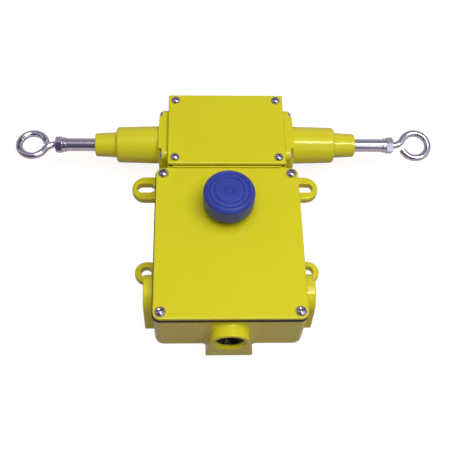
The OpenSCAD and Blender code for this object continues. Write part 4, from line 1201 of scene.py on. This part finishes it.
class PULLSWITCH_OT_reset_button(bpy.types.Operator):
    """Builds the mushroom button with its ringed face, its stem and the bush that guides it"""
    bl_idname = "pull_switch.reset_button"
    bl_label = "Reset button"

    def execute(self, context):
        sizes = context.scene.pull_switch.button
        low, high = node_box("reset_button")
        x, y = (low + high)[:2] / 2
        stem_low, stem_top = (corner[2] for corner in node_box("reset_stem"))
        button = button_profile(sizes, (high[0] - low[0]) / 2, high[2] + sizes.rise, low[2] - sizes.skirt,
                                node_box("reset_spring")[1][2], stem_top)
        rows = (("mushroom_button", button, 128, False, "reset", "blue_plastic", "reset_button"),
                ("push_stem", stem_profile(sizes.stem, stem_low, stem_top), 64, False,
                 "reset", "machined_steel", "reset_stem"),
                ("guide_bush", bush_profile(sizes.stem + 0.05 * MM), 96, True,
                 "housing", "bronze", "reset_bush"))
        for name, profile, sides, loop, body, slot, node in rows:
            mesh = new_mesh(shell(placed(turned(profile, sides), (x, y, 0)), loop))
            add_piece(name, mesh, body, slot, node)
        return {"FINISHED"}


# ---------- finishes and stage ----------

class PULLSWITCH_OT_finishes(bpy.types.Operator):
    """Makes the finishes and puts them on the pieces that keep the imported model's shape"""
    bl_idname = "pull_switch.finishes"
    bl_label = "Finishes"

    def execute(self, context):
        colours = context.scene.pull_switch.colours
        for slot, make in FINISHES.items():
            make(Finish(bpy.data.materials.new(finish_name(slot))), getattr(colours, slot))
        for part in frame["record"]["subparts"]:
            for holder in frame["nodes"][part["node"]].material_slots:
                holder.material = bpy.data.materials[finish_name(part["material_slot"])]
        return {"FINISHED"}


SENSOR_WIDTH = 36  # millimetres


def camera_matrix(stage):
    """Place and turn of the camera, from its angles about the target."""
    c, s = math.cos(stage.elevation), math.sin(stage.elevation)
    back = Vector((math.sin(stage.azimuth) * c, -math.cos(stage.azimuth) * c, s))
    right = Vector((math.cos(stage.azimuth), math.sin(stage.azimuth), 0))
    up = back.cross(right)
    c, s = math.cos(stage.roll), math.sin(stage.roll)
    turned_axes = Matrix((c * right + s * up, c * up - s * right, back)).transposed().to_4x4()
    turned_axes.translation = Vector(stage.target) + back * stage.distance
    return turned_axes


def add_overhead_lamp():
    """Area lamp that shines straight down on everything but isn't mirrored by shiny surfaces."""
    lamp = bpy.data.lights.new("overhead", "AREA")
    lamp.shape, lamp.size, lamp.size_y, lamp.energy = "RECTANGLE", 1.2, 1.0, 15.0
    holder = bpy.data.objects.new("overhead", lamp)
    holder.location = (0.26, -0.2, 1.3)
    holder.visible_glossy = False
    bpy.context.scene.collection.objects.link(holder)


def stops(*rows):
    """Ramp stops from (degrees, red, green, blue) rows; degrees run from -180 to 180."""
    return [((degrees + 180) / 360, (*colour, 1)) for degrees, *colour in rows]


# What shiny pieces mirror of the studio, by the angle about X from straight up, positive towards -Y:
# the open back, a dark gap, the long light overhead, the front (dark at one end and bright at the
# other), the dark low in front, and the grey below.
DIM_END = stops((-180, .33, .3, .38), (-42, .33, .3, .38), (-37, .09, .08, .13), (-23, .09, .08, .13),
                (-18, .48, .46, .6), (13, .48, .46, .6), (20, .13, .12, .18), (62, .12, .11, .17),
                (68, .03, .02, .05), (88, .03, .02, .05), (93, .4, .38, .44), (180, .4, .38, .44))
BRIGHT_END = stops((-180, .36, .34, .43), (-42, .36, .34, .43), (-37, .06, .06, .1), (-23, .06, .06, .1),
                   (-18, .5, .5, .55), (18, .5, .5, .55), (21, .45, .5, .54), (37, .45, .5, .54),
                   (40, .8, .9, 1), (67, .8, .9, 1), (70, .01, .01, .02), (92, .01, .01, .02),
                   (180, .4, .38, .44))

# Where along a direction's X the dim end gives way to the bright end, and over how much of it.
TO_BRIGHT_END = (0.17, 0.05)
# The two soft boxes: brightness, span of the angle about X in degrees, and span of the direction's X.
SOFT_BOXES = ((13.0, 8, 21, 0.08, 0.5), (6.0, -14, 16, -0.065, 0.15))
# How softly their edges fade: as a share of the whole turn, and along the direction's X.
SOFT_TURN, SOFT_X = 0.008, 0.03
WHITE = [1, 1, 1, 1]


def rays(finish, *kinds):
    """Values that are 1 on a ray of each kind and 0 on any other."""
    path = finish.node("ShaderNodeLightPath")
    return [Value(finish, path.outputs[f"Is {kind} Ray"]) for kind in kinds]


def studio_light(studio, stage):
    """White to the camera, an even tent to matt surfaces and a banded studio to shiny ones.

    A mirrored direction's angle about X picks the band, and the bands go from the dim end to the
    bright end as the direction turns towards +X. A soft box covers the bands inside its two spans.
    """
    parts = studio.node("ShaderNodeSeparateXYZ", {},
                        {0: Value(studio, studio.node("ShaderNodeTexCoord").outputs["Generated"])})
    x, y, z = (Value(studio, part) for part in parts.outputs)
    turn = (y * -1).angle_to(z) * (1 / FULL_TURN) + 0.5
    dim, bright = (Value(studio, studio.node("ShaderNodeValToRGB", {"stops": rows}, {0: turn}).outputs[0])
                   for rows in (DIM_END, BRIGHT_END))
    glossy_ray, camera_ray = rays(studio, "Glossy", "Camera")
    bands = studio.blend(x.above(*TO_BRIGHT_END), dim, bright)
    for level, start, stop, left, right in SOFT_BOXES:
        lit = (turn.above(0.5 + start / 360, SOFT_TURN) * (1 - turn.above(0.5 + stop / 360, SOFT_TURN))
               * x.above(left, SOFT_X) * (1 - x.above(right, SOFT_X)))
        bands = studio.blend(lit, bands, [level] * 3 + [1])
    seen = studio.blend(glossy_ray, [*stage.tent, 1], bands)
    light = studio.node("ShaderNodeBackground", {}, {0: studio.blend(camera_ray, seen, WHITE)})
    studio.node("ShaderNodeOutputWorld", {}, {0: Value(studio, light.outputs[0])})


def white_floor(finish):
    """White to the camera and faintly glowing to mirrored and clear rays, over a warm grey matt ground."""
    cool, warm_grey = [0.72, 0.75, 1, 1], [0.31, 0.23, 0.2, 1]
    seen, mirrored_glow = 0.88, 0.26
    camera_ray, glossy_ray, clear_ray = rays(finish, "Camera", "Glossy", "Transmission")
    glow = finish.node("ShaderNodeEmission", {}, {
        "Color": finish.blend(glossy_ray, WHITE, cool),
        "Strength": camera_ray * seen + (glossy_ray + clear_ray) * mirrored_glow})
    matt = finish.node("ShaderNodeBsdfDiffuse", {}, {"Color": warm_grey})
    both = finish.node("ShaderNodeAddShader", {},
                       {0: Value(finish, glow.outputs[0]), 1: Value(finish, matt.outputs[0])})
    finish.node("ShaderNodeOutputMaterial", {}, {0: Value(finish, both.outputs[0])})


class PULLSWITCH_OT_stage(bpy.types.Operator):
    """Sets up the camera, the lamp, the studio light and the white floor"""
    bl_idname = "pull_switch.stage"
    bl_label = "Stage"

    def execute(self, context):
        scene, stage = context.scene, context.scene.pull_switch.stage
        camera = bpy.data.cameras.new("camera")
        camera.lens, camera.sensor_width = stage.lens, SENSOR_WIDTH
        holder = bpy.data.objects.new("camera", camera)
        holder.matrix_world = camera_matrix(stage)
        scene.collection.objects.link(holder)
        scene.camera = holder

        add_overhead_lamp()
        white_floor(Finish(bpy.data.materials.new("white_floor")))
        half, below = stage.floor / 2, -0.2 * MM
        mesh = bpy.data.meshes.new("floor")
        corners = [(x, y, below) for x, y in ((-half, -half), (half, -half), (half, half), (-half, half))]
        mesh.from_pydata(corners, [], [(0, 1, 2, 3)])
        mesh.materials.append(bpy.data.materials["white_floor"])
        floor = bpy.data.objects.new("floor", mesh)
        scene.collection.objects.link(floor)

        scene.world = bpy.data.worlds.new("studio")
        studio_light(Finish(scene.world), stage)
        scene.view_settings.view_transform = "Standard"
        return {"FINISHED"}


OPERATORS = (PULLSWITCH_OT_finishes, PULLSWITCH_OT_casting, PULLSWITCH_OT_gasket, PULLSWITCH_OT_covers,
             PULLSWITCH_OT_end_housings, PULLSWITCH_OT_screws, PULLSWITCH_OT_rod_ends, PULLSWITCH_OT_springs,
             PULLSWITCH_OT_reset_button, PULLSWITCH_OT_stage)


class PULLSWITCH_PT_panel(bpy.types.Panel):
    """Lists the steps that build the switch"""
    bl_idname = "PULLSWITCH_PT_panel"
    bl_label = "Rope pull switch"
    bl_space_type = "VIEW_3D"
    bl_region_type = "UI"
    bl_category = "Pull switch"

    def draw(self, context):
        for operator in OPERATORS:
            self.layout.operator(operator.bl_idname)
        for group in ("casting", "covers", "ends", "rod", "screws", "button", "colours", "stage"):
            sizes = getattr(context.scene.pull_switch, group)
            box = self.layout.box()
            for name in sizes.bl_rna.properties.keys():
                if name not in ("rna_type", "name"):
                    box.prop(sizes, name)


CLASSES = (SwitchCasting, SwitchCovers, SwitchEnds, SwitchRod, SwitchScrews, SwitchButton, SwitchColours,
           SwitchStage, SwitchSettings, *OPERATORS, PULLSWITCH_PT_panel)


def register():
    for item in CLASSES:
        bpy.utils.register_class(item)
    bpy.types.Scene.pull_switch = PointerProperty(type=SwitchSettings)


def unregister():
    del bpy.types.Scene.pull_switch
    for item in reversed(CLASSES):
        bpy.utils.unregister_class(item)


def main():
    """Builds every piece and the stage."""
    register()
    for operator in OPERATORS:
        getattr(bpy.ops.pull_switch, operator.bl_idname.split(".")[1])()


if __name__ == "__main__":
    main()
